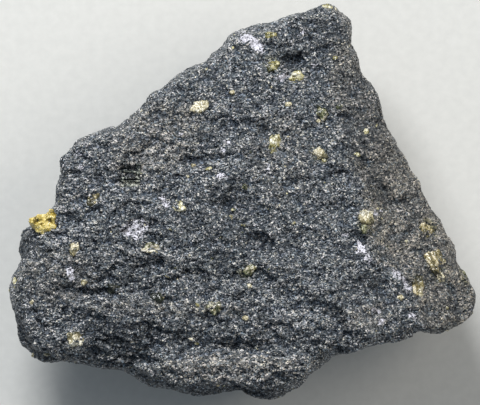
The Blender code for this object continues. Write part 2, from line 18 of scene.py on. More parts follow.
import bmesh
import bpy
import numpy as np
from mathutils import Matrix, Vector, noise
from mathutils.bvhtree import BVHTree

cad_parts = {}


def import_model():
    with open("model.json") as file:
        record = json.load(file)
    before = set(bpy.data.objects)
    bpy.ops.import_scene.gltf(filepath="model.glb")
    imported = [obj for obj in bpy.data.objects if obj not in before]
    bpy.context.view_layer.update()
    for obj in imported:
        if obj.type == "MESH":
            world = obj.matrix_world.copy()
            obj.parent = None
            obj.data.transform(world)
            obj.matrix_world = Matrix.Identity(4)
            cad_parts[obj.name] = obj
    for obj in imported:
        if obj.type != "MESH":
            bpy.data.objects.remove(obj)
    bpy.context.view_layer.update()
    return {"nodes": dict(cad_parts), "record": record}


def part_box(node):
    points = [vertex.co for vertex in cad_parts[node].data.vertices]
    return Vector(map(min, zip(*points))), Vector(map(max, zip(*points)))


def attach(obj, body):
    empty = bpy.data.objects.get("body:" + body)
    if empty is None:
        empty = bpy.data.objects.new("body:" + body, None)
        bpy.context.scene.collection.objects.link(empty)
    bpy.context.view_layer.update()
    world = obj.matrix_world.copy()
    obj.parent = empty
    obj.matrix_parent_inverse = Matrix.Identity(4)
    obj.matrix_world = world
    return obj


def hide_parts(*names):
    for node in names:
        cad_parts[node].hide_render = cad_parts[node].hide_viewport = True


LOG = logging.getLogger("olivine_basalt")

MM = 0.001
BODY = "root"
STONE_NODE = "basalt_stone"
NODULE_NODE = "olivine_nodule"
STEPPED_NODE = "olivine_stepped"
MERGE_DISTANCE = 0.001
CELL_DRAW = 37.0
CORE = Vector((0.0, -4.0, 15.0))
UP = Vector((0.0, 0.0, 1.0))
DOWN = Vector((0.0, 0.0, -1.0))

# Blender seeds noise_vector from the clock, so a fixed seed gives the same meshes in each run.
STIR_SEED = 11

Socket = bpy.types.NodeSocket
Shape = bmesh.types.BMesh
Pair = tuple[float, float]
Triple = tuple[float, float, float]
Colour = tuple[float, float, float, float]
Stops = tuple[tuple[float, Colour], ...]
Value = Socket | float | Colour | Vector


class Tint(Enum):
    """The three looks of the olivine, each named by its material slot in the record."""

    YELLOW = "olivine_yellow"
    CREAM = "olivine_cream"
    GREEN = "olivine_green"


def smooth_step(value: float) -> float:
    """0 below 0, 1 above 1, and an even curve between."""
    value = min(1.0, max(0.0, value))
    return value * value * (3.0 - 2.0 * value)


class ShaderGraph:
    """A material being built: its nodes, its Principled shader and the piece's own coordinates."""

    def __init__(self, name: str) -> None:
        """Starts an empty material.

        Args:
            name: The material's name.
        """
        self.material = bpy.data.materials.new(name)
        self.material.use_nodes = True
        self.nodes = self.material.node_tree.nodes
        self.links = self.material.node_tree.links
        self.shader = self.nodes["Principled BSDF"]
        self.place = self.nodes.new("ShaderNodeTexCoord").outputs["Object"]

    def feed(self, socket: Socket, value: Value) -> None:
        """Links a socket to another one, or gives it a fixed value.

        Args:
            socket: The socket to feed.
            value: The other socket, or the fixed value.
        """
        if isinstance(value, Socket):
            self.links.new(value, socket)
        else:
            socket.default_value = value

    def add(self, kind: str, inputs: dict[str, Value], **settings: object) -> bpy.types.Node:
        """Adds a node.

        Args:
            kind: The node's type name.
            inputs: What goes into its sockets, by the socket's identifier.
            **settings: The node's own options.

        Returns:
            The new node.
        """
        node = self.nodes.new(kind)
        for setting, value in settings.items():
            setattr(node, setting, value)
        sockets = {socket.identifier: socket for socket in node.inputs}
        for identifier, value in inputs.items():
            self.feed(sockets[identifier], value)
        return node

    def calculate(self, operation: str, first: Value, second: Value = 0.0) -> Socket:
        """One step of arithmetic on two values."""
        node = self.add("ShaderNodeMath", {"Value": first, "Value_001": second}, operation=operation)
        return node.outputs["Value"]

    def stretched(self, scale: Triple) -> Socket:
        """The piece's coordinates, multiplied along X, Y and Z."""
        inputs = {"Vector": self.place, "Vector_001": scale}
        return self.add("ShaderNodeVectorMath", inputs, operation="MULTIPLY").outputs["Vector"]

    def turned(self, angles: Triple, scale: Triple) -> Socket:
        """The piece's coordinates, turned and then multiplied along the turned axes.

        Args:
            angles: The turns about X, Y and Z, in degrees.
            scale: The factors along the turned axes.

        Returns:
            The new coordinates.
        """
        turn = tuple(math.radians(angle) for angle in angles)
        given = {"Vector": self.place, "Rotation": turn}
        turned = self.add("ShaderNodeVectorRotate", given, rotation_type="EULER_XYZ")
        inputs = {"Vector": turned.outputs["Vector"], "Vector_001": scale}
        return self.add("ShaderNodeVectorMath", inputs, operation="MULTIPLY").outputs["Vector"]

    def shifted(self, start: Value, chance: Value, reach: float) -> Socket:
        """A vector moved by a chance.

        Args:
            start: The vector to move.
            chance: The chance colour that says where to.
            reach: How far at most, along each axis and either way.

        Returns:
            The moved vector.
        """
        centred = {"Vector": chance, "Vector_001": (0.5, 0.5, 0.5)}
        shift = self.add("ShaderNodeVectorMath", centred, operation="SUBTRACT").outputs["Vector"]
        inputs = {"Vector": shift, "Vector_001": (2.0 * reach,) * 3, "Vector_002": start}
        return self.add("ShaderNodeVectorMath", inputs, operation="MULTIPLY_ADD").outputs["Vector"]

    def stirred(self, place: Socket, size: float, reach: float) -> Socket:
        """Coordinates shifted unevenly, so that cells on them get uneven borders.

        Args:
            place: The coordinates to shift.
            size: The size of the unevenness, in millimetres.
            reach: How far it moves a point, in millimetres.

        Returns:
            The shifted coordinates.
        """
        cloud = self.add("ShaderNodeTexNoise", {"Vector": place, "Scale": 1.0 / (size * MM)})
        return self.shifted(place, cloud.outputs["Color"], reach * MM)

    def cells(self, place: Socket, size: float, feature: str = "F1") -> bpy.types.Node:
        """A pattern of irregular cells of a size in millimetres."""
        inputs = {"Vector": place, "Scale": 1.0 / (size * MM)}
        return self.add("ShaderNodeTexVoronoi", inputs, feature=feature)

    def cloud(self, place: Socket, size: float, detail: float = 2.0) -> Socket:
        """A soft uneven pattern of a size in millimetres."""
        inputs = {"Vector": place, "Scale": 1.0 / (size * MM), "Detail": detail}
        return self.add("ShaderNodeTexNoise", inputs).outputs["Fac"]

    def chances(self, colour: Socket) -> tuple[Socket, ...]:
        """The three parts of a colour as separate values."""
        node = self.add("ShaderNodeSeparateColor", {"Color": colour})
        return tuple(node.outputs)

    def ramp(self, value: Value, stops: Stops) -> Socket:
        """A colour picked along a row of stops.

        Args:
            value: Where along the row, from 0 to 1.
            stops: Each stop's place and colour, in order.

        Returns:
            The colour there.
        """
        node = self.add("ShaderNodeValToRGB", {"Fac": value})
        row = node.color_ramp.elements
        row.remove(row[-1])
        row[0].position, row[0].color = stops[0]
        for position, colour in stops[1:]:
            row.new(position).color = colour
        return node.outputs["Color"]

    def mix(self, share: Value, under: Value, over: Value, mode: str = "MIX") -> Socket:
        """Blends one colour over another.

        Args:
            share: How much of the second colour, from 0 to 1.
            under: The first colour.
            over: The second colour.
            mode: The blend's name.

        Returns:
            The blended colour.
        """
        inputs = {"Factor_Float": share, "A_Color": under, "B_Color": over}
        node = self.add("ShaderNodeMix", inputs, data_type="RGBA", blend_type=mode)
        return next(socket for socket in node.outputs if socket.identifier == "Result_Color")

    def scale_range(
        self, value: Value, low: float, high: float, new_low: float, new_high: float
    ) -> Socket:
        """A value carried from one range to another and held inside it."""
        inputs = {"Value": value, "From Min": low, "From Max": high, "To Min": new_low, "To Max": new_high}
        return self.add("ShaderNodeMapRange", inputs).outputs["Result"]

    def painted(self, name: str) -> Socket:
        """A value painted on the piece's own points."""
        return self.add("ShaderNodeAttribute", {}, attribute_name=name).outputs["Fac"]

    def emboss(self, height: Value, depth: float, grains: Value, lean: float) -> None:
        """Gives the shader a fine relief whose grains each face their own way, as crystal faces do.

        Args:
            height: The height, from 0 to 1.
            depth: What a height of 1 is, in millimetres.
            grains: A chance colour for each grain.
            lean: How far a grain may lean, as a share of the normal's length.
        """
        bump = self.add("ShaderNodeBump", {"Height": height, "Distance": depth * MM, "Strength": 0.9})
        leaning = self.shifted(bump.outputs["Normal"], grains, lean)
        facing = self.add("ShaderNodeVectorMath", {"Vector": leaning}, operation="NORMALIZE")
        self.feed(self.shader.inputs["Normal"], facing.outputs["Vector"])

    def finish(self, colour: Value, roughness: Value, index: float, specular: float) -> bpy.types.Material:
        """Sets the shader's main inputs.

        Args:
            colour: The base colour.
            roughness: The roughness.
            index: The index of refraction.
            specular: The specular level.

        Returns:
            The finished material.
        """
        self.feed(self.shader.inputs["Base Color"], colour)
        self.feed(self.shader.inputs["Roughness"], roughness)
        self.shader.inputs["IOR"].default_value = index
        self.shader.inputs["Specular IOR Level"].default_value = specular
        return self.material


@dataclass(frozen=True)
class BasaltFinish:
    """The groundmass: a felt of dark grains and pale laths with warm, bruised and stained places, painted
    light and shade in paler and darker places, painted warm light, and painted shade in the hollows.
    """

    grain: float = 0.182
    grain_stretch: Triple = (0.80, 1.0, 1.0)
    grain_stir: float = 0.06
    grain_stir_size: float = 0.4
    grain_lean: float = 0.90
    grain_rise: float = 0.7
    slit: float = 0.34
    slit_stretch: Triple = (0.30, 1.0, 0.8)
    slit_share: float = 0.10
    slit_stir: float = 0.12
    slit_stir_size: float = 0.8
    slit_dark: float = 0.85
    slit_sink: float = 1.5
    network: float = 0.75
    network_white: float = 0.45
    shred: float = 0.7
    shred_swing: float = 0.35
    grain_white: float = 0.80
    bruise_white: float = 1.35
    white_from: float = 1.15
    white_full: float = 1.50
    clump: float = 0.55
    patch: float = 2.6
    grain_depth: float = 0.06
    smoothest: float = 0.38
    roughest: float = 0.85
    index: float = 1.55
    darkest: float = -0.12
    palest: float = 0.885
    clump_swing: float = 0.045
    patch_swing: float = 0.035
    tone_light_and_shade_swing: float = 0.175
    lath_light: float = 0.44
    lath_start: float = 0.74
    lath: Triple = (0.80, 0.13, 0.24)
    lath_turns: tuple[Triple, ...] = (
        (20.0, 10.0, 10.0),
        (-15.0, 25.0, 62.0),
        (30.0, -20.0, -28.0),
    )
    tones: Stops = (
        (0.00, (0.006, 0.010, 0.016, 1.0)),
        (0.18, (0.024, 0.034, 0.044, 1.0)),
        (0.42, (0.088, 0.102, 0.112, 1.0)),
        (0.68, (0.200, 0.212, 0.218, 1.0)),
        (0.86, (0.420, 0.430, 0.425, 1.0)),
        (1.00, (0.900, 0.900, 0.880, 1.0)),
    )
    # Where warm tone and painted warm light are painted: a warmer, paler row of tones.
    warm_and_lit_tones: Stops = (
        (0.00, (0.032, 0.032, 0.031, 1.0)),
        (0.40, (0.120, 0.114, 0.100, 1.0)),
        (0.78, (0.270, 0.250, 0.212, 1.0)),
        (1.00, (0.740, 0.690, 0.590, 1.0)),
    )
    casts: Stops = (
        (0.00, (0.80, 0.97, 1.16, 1.0)),
        (0.35, (0.98, 1.00, 1.03, 1.0)),
        (0.60, (1.04, 0.98, 1.03, 1.0)),
        (0.90, (1.06, 1.01, 0.94, 1.0)),
        (1.00, (1.09, 1.02, 0.87, 1.0)),
    )
    bruise: Colour = (0.84, 0.82, 0.90, 1.0)
    stain: Colour = (0.30, 0.27, 0.09, 1.0)
    slit_colour: Colour = (0.16, 0.20, 0.27, 1.0)
    # Painted shade: the cool colour that darkens the hollows.
    hollow_shade_colour: Colour = (0.36, 0.43, 0.53, 1.0)

    def laths(self, graph: ShaderGraph) -> Socket:
        """Where a pale lath lies: slivers in three directions.

        Args:
            graph: The material's graph.

        Returns:
            How pale the lath is, from 0 to 1.
        """
        longest = max(self.lath)
        strongest: Value = 0.0
        for turn in self.lath_turns:
            place = graph.turned(turn, tuple(longest / side for side in self.lath))
            chance = graph.chances(graph.cells(place, longest).outputs["Color"])[0]
            pale = graph.scale_range(chance, self.lath_start, 1.0, 0.0, 1.0)
            strongest = graph.calculate("MAXIMUM", strongest, pale)
        return strongest

    def slits(self, graph: ShaderGraph) -> Socket:
        """Where a thin dark slit lies between the grains, long along X.

        Args:
            graph: The material's graph.

        Returns:
            1 inside a slit and 0 outside.
        """
        place = graph.stirred(graph.stretched(self.slit_stretch), self.slit_stir_size, self.slit_stir)
        chance = graph.chances(graph.cells(place, self.slit).outputs["Color"])[0]
        return graph.scale_range(chance, self.slit_share, self.slit_share - 0.02, 0.0, 1.0)

    def paleness(self, graph: ShaderGraph, tone: Value, clump: Value, laths: Value) -> Socket:
        """How pale the groundmass is, from its grains, its clumps, its painted places and its laths; the
        places are partly tone and partly painted light and shade.

        Args:
            graph: The material's graph.
            tone: Each grain's own chance, from 0 to 1.
            clump: Each clump's own chance, from 0 to 1.
            laths: How pale a lath is, from 0 to 1.

        Returns:
            Where it lies on the row of tones.
        """
        total = graph.scale_range(tone, 0.0, 1.0, self.darkest, self.palest)
        clumps = graph.scale_range(clump, 0.0, 1.0, -self.clump_swing, self.clump_swing)
        total = graph.calculate("ADD", total, clumps)
        cloud = graph.cloud(graph.place, self.patch, 3.0)
        patches = graph.scale_range(cloud, 0.3, 0.7, -self.patch_swing, self.patch_swing)
        total = graph.calculate("ADD", total, patches)
        # Painted paler and darker places: partly the stone's own tone, partly painted light and painted
        # shade.
        painted = graph.calculate("MULTIPLY", graph.painted("tone"), self.tone_light_and_shade_swing)
        total = graph.calculate("ADD", total, painted)
        return graph.calculate("ADD", total, graph.calculate("MULTIPLY", laths, self.lath_light))

    def bruised(self, graph: ShaderGraph, tone: Value) -> Socket:
        """Where the rock is bruised white: most grains in the middle of a bruise, a network at its edge.

        Args:
            graph: The material's graph.
            tone: Each grain's own chance, from 0 to 1.

        Returns:
            The share of white, from 0 to 1.
        """
        painted = graph.painted("bruise")
        place = graph.stirred(graph.place, 0.6, 0.14)
        border = graph.cells(place, self.network, "DISTANCE_TO_EDGE").outputs["Distance"]
        lines = graph.scale_range(border, 0.04, 0.16, self.network_white, 0.0)
        cloud = graph.cloud(graph.place, self.shred, 3.0)
        shreds = graph.scale_range(cloud, 0.35, 0.65, -self.shred_swing, self.shred_swing)
        total = graph.calculate("MULTIPLY", painted, self.bruise_white)
        for part in (graph.calculate("MULTIPLY", tone, self.grain_white), lines, shreds):
            total = graph.calculate("ADD", total, part)
        share = graph.scale_range(total, self.white_from, self.white_full, 0.0, 1.0)
        return graph.calculate("MULTIPLY", share, graph.scale_range(painted, 0.02, 0.12, 0.0, 1.0))

    def build(self) -> bpy.types.Material:
        """Makes the material.

        Returns:
            The finished material.
        """
        graph = ShaderGraph("basalt_groundmass")
        place = graph.stirred(graph.stretched(self.grain_stretch), self.grain_stir_size, self.grain_stir)
        grains = graph.cells(place, self.grain).outputs["Color"]
        tone, cast, gloss = graph.chances(grains)[:3]
        laths = self.laths(graph)
        clump = graph.chances(graph.cells(place, self.clump).outputs["Color"])[0]
        paleness = self.paleness(graph, tone, clump, laths)
        colour = graph.ramp(paleness, self.tones)
        # Warm tone, partly painted warm light, on the right face and the warm places.
        colour = graph.mix(graph.painted("warm_tone_and_light"), colour, graph.ramp(paleness, self.warm_and_lit_tones))
        colour = graph.mix(1.0, colour, graph.ramp(cast, self.casts), "MULTIPLY")
        # Painted shade: the hollows are darkened with a cool blue.
        colour = graph.mix(graph.painted("hollow_shade"), colour, self.hollow_shade_colour, "MULTIPLY")
        flecks = graph.scale_range(paleness, 0.15, 0.70, 0.10, 1.0)
        stained = graph.calculate("MULTIPLY", graph.scale_range(clump, 0.30, 0.60, 0.0, 1.0), flecks)
        colour = graph.mix(graph.calculate("MULTIPLY", graph.painted("stain"), stained), colour, self.stain)
        slits = self.slits(graph)
        cut = graph.calculate("MULTIPLY", slits, self.slit_dark)
        colour = graph.mix(cut, colour, self.slit_colour, "MULTIPLY")
        colour = graph.mix(self.bruised(graph, tone), colour, self.bruise)
        roughness = graph.scale_range(gloss, 0.0, 1.0, self.smoothest, self.roughest)
        height = graph.calculate("ADD", graph.calculate("MULTIPLY", cast, self.grain_rise), laths)
        height = graph.calculate("SUBTRACT", height, graph.calculate("MULTIPLY", slits, self.slit_sink))
        graph.emboss(height, self.grain_depth, grains, self.grain_lean)
        return graph.finish(colour, roughness, self.index, 0.5)


@dataclass(frozen=True)
class OlivineFinish:
    """Glassy granular olivine: a colour for each grain, dark seams between grains, and a clear gloss."""

    name: str
    grains: Stops
    seam: Colour = (0.34, 0.31, 0.17, 1.0)
    fleck: float = 0.20
    fleck_stir: float = 0.05
    fleck_stir_size: float = 0.3
    fleck_swing: float = 0.24
    fleck_depth: float = 0.03
    fleck_lean: float = 0.35
    smoothest: float = 0.14
    roughest: float = 0.42
    index: float = 1.67
    coat: float = 0.25
    coat_roughness: float = 0.12

    def build(self) -> bpy.types.Material:
        """Makes the material.

        Returns:
            The finished material.
        """
        graph = ShaderGraph(self.name)
        place = graph.stirred(graph.place, self.fleck_stir_size, self.fleck_stir)
        grains = graph.cells(place, self.fleck).outputs["Color"]
        flecks = graph.chances(grains)[0]
        swing = graph.scale_range(flecks, 0.0, 1.0, -self.fleck_swing, self.fleck_swing)
        colour = graph.ramp(graph.calculate("ADD", graph.painted("grain"), swing), self.grains)
        colour = graph.mix(graph.painted("seam"), colour, self.seam, "MULTIPLY")
        roughness = graph.scale_range(flecks, 0.0, 1.0, self.smoothest, self.roughest)
        graph.emboss(graph.cloud(graph.place, self.fleck), self.fleck_depth, grains, self.fleck_lean)
        self.gloss(graph)
        return graph.finish(colour, roughness, self.index, 0.5)

    def gloss(self, graph: ShaderGraph) -> None:
        """The clear gloss over the grains, the same all over."""
        graph.shader.inputs["Coat Weight"].default_value = self.coat
        graph.shader.inputs["Coat Roughness"].default_value = self.coat_roughness


TINT_FINISHES: dict[Tint, OlivineFinish] = {
    Tint.YELLOW: OlivineFinish(
        "yellow_olivine",
        (
            (0.00, (0.070, 0.070, 0.020, 1.0)),
            (0.22, (0.300, 0.270, 0.080, 1.0)),
            (0.45, (0.540, 0.490, 0.240, 1.0)),
            (0.70, (0.780, 0.720, 0.460, 1.0)),
            (1.00, (0.960, 0.930, 0.800, 1.0)),
        ),
    ),
    Tint.CREAM: OlivineFinish(
        "cream_olivine",
        (
            (0.00, (0.110, 0.100, 0.050, 1.0)),
            (0.22, (0.380, 0.330, 0.180, 1.0)),
            (0.50, (0.720, 0.640, 0.440, 1.0)),
            (0.80, (0.940, 0.860, 0.660, 1.0)),
            (1.00, (0.980, 0.940, 0.820, 1.0)),
        ),
    ),
    Tint.GREEN: OlivineFinish(
        "green_olivine",
        (
            (0.00, (0.012, 0.017, 0.010, 1.0)),
            (0.38, (0.050, 0.060, 0.025, 1.0)),
            (0.65, (0.170, 0.180, 0.085, 1.0)),
            (0.85, (0.480, 0.470, 0.300, 1.0)),
            (1.00, (0.860, 0.800, 0.700, 1.0)),
        ),
    ),
}
AMBER_FINISH = OlivineFinish(
    "amber_olivine",
    (
        (0.00, (0.060, 0.052, 0.018, 1.0)),
        (0.25, (0.270, 0.225, 0.090, 1.0)),
        (0.48, (0.520, 0.430, 0.220, 1.0)),
        (0.72, (0.840, 0.730, 0.500, 1.0)),
        (1.00, (0.980, 0.930, 0.820, 1.0)),
    ),
)
NODULE_FINISH = OlivineFinish(
    "nodule_olivine",
    (
        (0.00, (0.045, 0.040, 0.010, 1.0)),
        (0.22, (0.195, 0.138, 0.018, 1.0)),
        (0.45, (0.560, 0.410, 0.076, 1.0)),
        (0.70, (0.870, 0.680, 0.190, 1.0)),
        (1.00, (1.000, 0.880, 0.470, 1.0)),
    ),
)
STEPPED_FINISH = OlivineFinish(
    "stepped_olivine",
    (
        (0.00, (0.006, 0.010, 0.014, 1.0)),
        (0.30, (0.042, 0.052, 0.050, 1.0)),
        (0.60, (0.160, 0.180, 0.150, 1.0)),
        (0.85, (0.400, 0.420, 0.350, 1.0)),
        (1.00, (0.720, 0.720, 0.660, 1.0)),
    ),
)
OWN_FINISHES: dict[str, OlivineFinish] = {
    NODULE_NODE: NODULE_FINISH,
    STEPPED_NODE: STEPPED_FINISH,
    "olivine_cluster_upper": TINT_FINISHES[Tint.CREAM],
    "olivine_near_crack": AMBER_FINISH,
    "olivine_right_cluster": AMBER_FINISH,
    "olivine_right_edge": AMBER_FINISH,
    "olivine_right_lower": AMBER_FINISH,
}


@dataclass(frozen=True)
class FloorFinish:
    """The plain pale ground that the stone lies on."""

    colour: Colour = (0.74, 0.73, 0.70, 1.0)
    fleck: float = 1.4

    def build(self) -> bpy.types.Material:
        """Makes the material.

        Returns:
            The finished material.
        """
        graph = ShaderGraph("pale_ground")
        fibres = graph.scale_range(graph.cloud(graph.place, self.fleck, 4.0), 0.3, 0.7, 0.97, 1.03)
        colour = graph.mix(1.0, self.colour, fibres, "MULTIPLY")
        return graph.finish(colour, 0.8, 1.45, 0.3)


def taken_from(node: bpy.types.Object) -> Shape:
    """Copies a CAD node.

    Args:
        node: The node.

    Returns:
        Its copy, one merged mesh in millimetres.
    """
    shape = bmesh.new()
    shape.from_mesh(node.data)
    bmesh.ops.scale(shape, verts=shape.verts, vec=Vector((1.0, 1.0, 1.0)) / MM)
    bmesh.ops.remove_doubles(shape, verts=shape.verts, dist=MERGE_DISTANCE)
    bmesh.ops.recalc_face_normals(shape, faces=shape.faces)
    return shape


def middle_of(shape: Shape) -> tuple[Vector, Vector]:
    """Measures a shape's box.

    Args:
        shape: The shape.

    Returns:
        The middle of its box, and half of the box's sides.
    """
    points = np.array([vert.co for vert in shape.verts])
    low = points.min(axis=0)
    high = points.max(axis=0)
    return Vector((low + high) / 2.0), Vector((high - low) / 2.0)


def widened(shape: Shape, middle: Vector, half: Vector, widen: float, seat: Vector) -> None:
    """Moves every side of a shape out, and sets the shape on a new place.

    Args:
        shape: The shape.
        middle: The middle of its box.
        half: Half of the box's sides.
        widen: How far each side moves out, in millimetres.
        seat: Where its middle goes.
    """
    sides = Vector([(side + widen) / side for side in half])
    bmesh.ops.translate(shape, verts=shape.verts, vec=-middle)
    bmesh.ops.scale(shape, verts=shape.verts, vec=sides)
    bmesh.ops.translate(shape, verts=shape.verts, vec=seat)


def with_modifier(shape: Shape, kind: str, **settings: object) -> Shape:
    """Runs one modifier on a shape and applies it.

    Args:
        shape: The shape, which is used up.
        kind: The modifier's type name.
        **settings: The modifier's options.

    Returns:
        The changed shape.
    """
    mesh = bpy.data.meshes.new("holder")
    shape.to_mesh(mesh)
    shape.free()
    holder = bpy.data.objects.new("holder", mesh)
    bpy.context.scene.collection.objects.link(holder)
    modifier = holder.modifiers.new(kind.title(), kind)
    for setting, value in settings.items():
        setattr(modifier, setting, value)
    made = bpy.data.meshes.new_from_object(holder.evaluated_get(bpy.context.evaluated_depsgraph_get()))
    changed = bmesh.new()
    changed.from_mesh(made)
    bpy.data.objects.remove(holder)
    bpy.data.meshes.remove(mesh)
    bpy.data.meshes.remove(made)
    return changed


def remeshed(shape: Shape, voxel: float) -> Shape:
    """The shape as one even closed skin, its overlapping parts grown together."""
    return with_modifier(shape, "REMESH", mode="VOXEL", voxel_size=voxel)


def join_in(target: Shape, extra: Shape) -> None:
    """Adds a shape to another.

    Args:
        target: The shape that grows.
        extra: The shape that is added, which is used up.
    """
    mesh = bpy.data.meshes.new("extra")
    extra.to_mesh(mesh)
    extra.free()
    target.from_mesh(mesh)
    bpy.data.meshes.remove(mesh)


def add_piece(
    name: str, shape: Shape, material: bpy.types.Material, replaced: str | None = None
) -> bpy.types.Object:
    """Puts a finished piece in the scene, in metres, riding on the specimen's body.

    Args:
        name: The piece's name.
        shape: Its mesh in millimetres, which is used up.
        material: Its material.
        replaced: The CAD node that it stands for, if any.

    Returns:
        The new object.
    """
    bmesh.ops.scale(shape, verts=shape.verts, vec=Vector((MM, MM, MM)))
    for face in shape.faces:
        face.smooth = True
    mesh = bpy.data.meshes.new(name)
    shape.to_mesh(mesh)
    shape.free()
    mesh.materials.append(material)
    piece = bpy.data.objects.new(name, mesh)
    bpy.context.scene.collection.objects.link(piece)
    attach(piece, BODY)
    if replaced is not None:
        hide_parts(replaced)
    LOG.info("%s: %d faces", name, len(mesh.polygons))
    return piece


def paint(shape: Shape, name: str, values: Iterable[float]) -> None:
    """Paints one value on each point of a shape.

    Args:
        shape: The shape.
        name: The name that the material reads the values by.
        values: The values, in the order of the points.
    """
    layer = shape.verts.layers.float.new(name)
    for vert, value in zip(shape.verts, values):
        vert[layer] = value


def grain_up(
    shape: Shape, heights: Iterable[float], chances: Iterable[float], seams: Iterable[float]
) -> None:
    """Gives a crystal's skin its grains: pushes each point out and paints its tone and seam.

    Args:
        shape: The skin, its normals up to date.
        heights: How far each point moves out, in millimetres.
        chances: How pale each point is, from 0 to 1.
        seams: How near each point is to a seam, from 0 to 1.
    """
    for vert, height in zip(shape.verts, heights):
        vert.co += vert.normal * height
    paint(shape, "grain", chances)
    paint(shape, "seam", seams)


@dataclass(frozen=True)
class Facets:
    """Small broken planes of one size: each cell is a plane with its own tilt, and steps to the next."""

    cell: Triple
    tilt: float
    lean: float
    offset: float = 0.0

    def height(self, point: Vector) -> float:
        """How far the broken surface stands out at a point.

        Args:
            point: The point, in millimetres.

        Returns:
            The height there, in millimetres.
        """
        size_x, size_y, size_z = self.cell
        scaled = Vector((point.x / size_x, point.y / size_y, point.z / size_z))
        centre = noise.voronoi(scaled)[1][0]
        away = scaled - centre
        draw = noise.cell_vector(centre * CELL_DRAW)
        slope_x = (draw.x * 2.0 - 1.0) * self.tilt
        slope_y = (draw.y * 2.0 - 1.0) * self.tilt + self.lean
        slope_z = (draw.z * 2.0 - 1.0) * self.tilt
        step = (draw.x + draw.y - 1.0) * self.offset
        return away.x * size_x * slope_x + away.y * size_y * slope_y + away.z * size_z * slope_z + step


@dataclass(frozen=True)
class Patch:
    """An uneven oval place on the upper face: its middle, length, width and turn in degrees."""

    x: float
    y: float
    length: float
    width: float
    turn: float = 0.0
    strength: float = 1.0

    def weight(self, x: float, y: float) -> float:
        """How much of the patch lies at a point.

        Args:
            x: The point's place along the upper face.
            y: The point's place up the upper face.

        Returns:
            The patch's strength in its middle, and 0 outside.
        """
        angle = math.radians(self.turn)
        dx = x - self.x
        dy = y - self.y
        u = (dx * math.cos(angle) + dy * math.sin(angle)) / (0.5 * self.length)
        v = (dy * math.cos(angle) - dx * math.sin(angle)) / (0.5 * self.width)
        return self.strength * smooth_step(1.5 - (u * u + v * v))


BRUISES = (
    Patch(0.3, 26.4, 2.8, 1.6, -35.0, 1.1),
    Patch(2.4, 24.9, 3.0, 1.5, -40.0, 1.1),
    Patch(-12.3, 0.2, 3.2, 1.0, -55.0, 0.8),
    Patch(-16.8, -4.3, 4.2, 3.2, 10.0, 0.66),
    Patch(-27.2, -11.3, 1.2, 2.6, 15.0, 0.7),
    Patch(19.0, -7.3, 1.2, 1.8, 20.0, 1.2),
    Patch(19.8, -8.9, 1.1, 1.8, 25.0, 0.6),
    Patch(24.6, -11.4, 2.4, 0.8, -30.0, 0.9),
    Patch(26.2, -13.2, 0.9, 2.6, 20.0, 0.8),
    Patch(27.1, -18.0, 0.8, 1.9, 15.0, 0.8),
    Patch(21.2, -17.3, 1.6, 0.8, 0.0, 0.8),
    Patch(22.2, -19.0, 1.4, 0.6, 0.0, 0.8),
    Patch(21.3, -1.6, 2.0, 0.5, 5.0),
    Patch(16.4, -5.1, 1.0, 0.6, 0.0, 0.8),
    Patch(-26.0, 7.6, 1.5, 0.9, -20.0, 0.8),
    Patch(-25.5, 5.4, 1.0, 0.7, 0.0, 0.7),
    Patch(9.6, 26.8, 2.0, 0.5, 15.0, 0.7),
    Patch(11.3, 30.3, 1.2, 0.5, 10.0, 0.7),
    Patch(6.6, 19.9, 1.6, 1.2, 0.0, 0.9),
    Patch(11.6, 21.7, 0.9, 0.8, 0.0, 0.7),
    Patch(8.5, 13.7, 0.9, 0.8, 0.0, 0.7),
    Patch(-1.9, 9.5, 1.0, 0.8, 0.0, 0.7),
    Patch(-3.0, 8.3, 0.8, 0.8, 0.0, 0.7),
    Patch(4.3, 5.3, 0.9, 0.7, 0.0, 0.7),
    Patch(-9.7, 10.8, 0.8, 0.7, 0.0, 0.7),
    Patch(-3.2, 4.2, 1.7, 0.6, 10.0, 0.9),
)
STAINS = (
    Patch(-20.6, 11.8, 2.0, 1.0, 30.0, 0.5),
    Patch(12.3, 7.5, 3.0, 2.4, -35.0, 0.5),
    Patch(19.5, -4.0, 2.0, 3.4, 0.0, 0.6),
    Patch(30.0, -4.0, 3.4, 2.2, -50.0, 0.6),
    Patch(31.0, -10.4, 2.8, 5.2, 20.0, 0.4),
    Patch(28.0, -13.2, 2.0, 3.4, 10.0, 0.4),
    Patch(4.6, 22.0, 2.6, 2.2, 0.0, 0.4),
    Patch(-4.5, -16.8, 2.8, 2.0, 0.0, 0.5),
    Patch(0.6, -11.2, 3.0, 2.0, 20.0, 0.5),
    Patch(35.5, -11.6, 1.2, 3.0, 25.0, 0.8),
)
# Paler places: partly the stone's own paler tone, partly painted light on faces that the light falls on.
PALE_TONE_AND_LIGHT_PLACES = (
    Patch(-14.5, -0.5, 3.0, 4.5, 40.0, 0.6),
    Patch(-2.0, -26.3, 24.0, 4.8, 2.0, 1.05),
    Patch(23.5, -7.0, 7.0, 13.0, 35.0, 0.45),
    Patch(20.5, -18.2, 8.0, 4.0, 10.0, 0.5),
    Patch(28.2, -17.4, 4.0, 3.0, 0.0, 0.3),
    Patch(-13.5, 10.0, 14.0, 9.0, 35.0, 0.5),
    Patch(-10.0, -16.9, 26.0, 2.0, -2.0, 0.3),
    Patch(9.0, -17.5, 12.0, 6.0, -20.0, 0.5),
    Patch(-27.0, -2.0, 8.0, 14.0, -20.0, 0.25),
    Patch(6.5, 8.0, 6.0, 10.0, 0.0, 0.25),
)
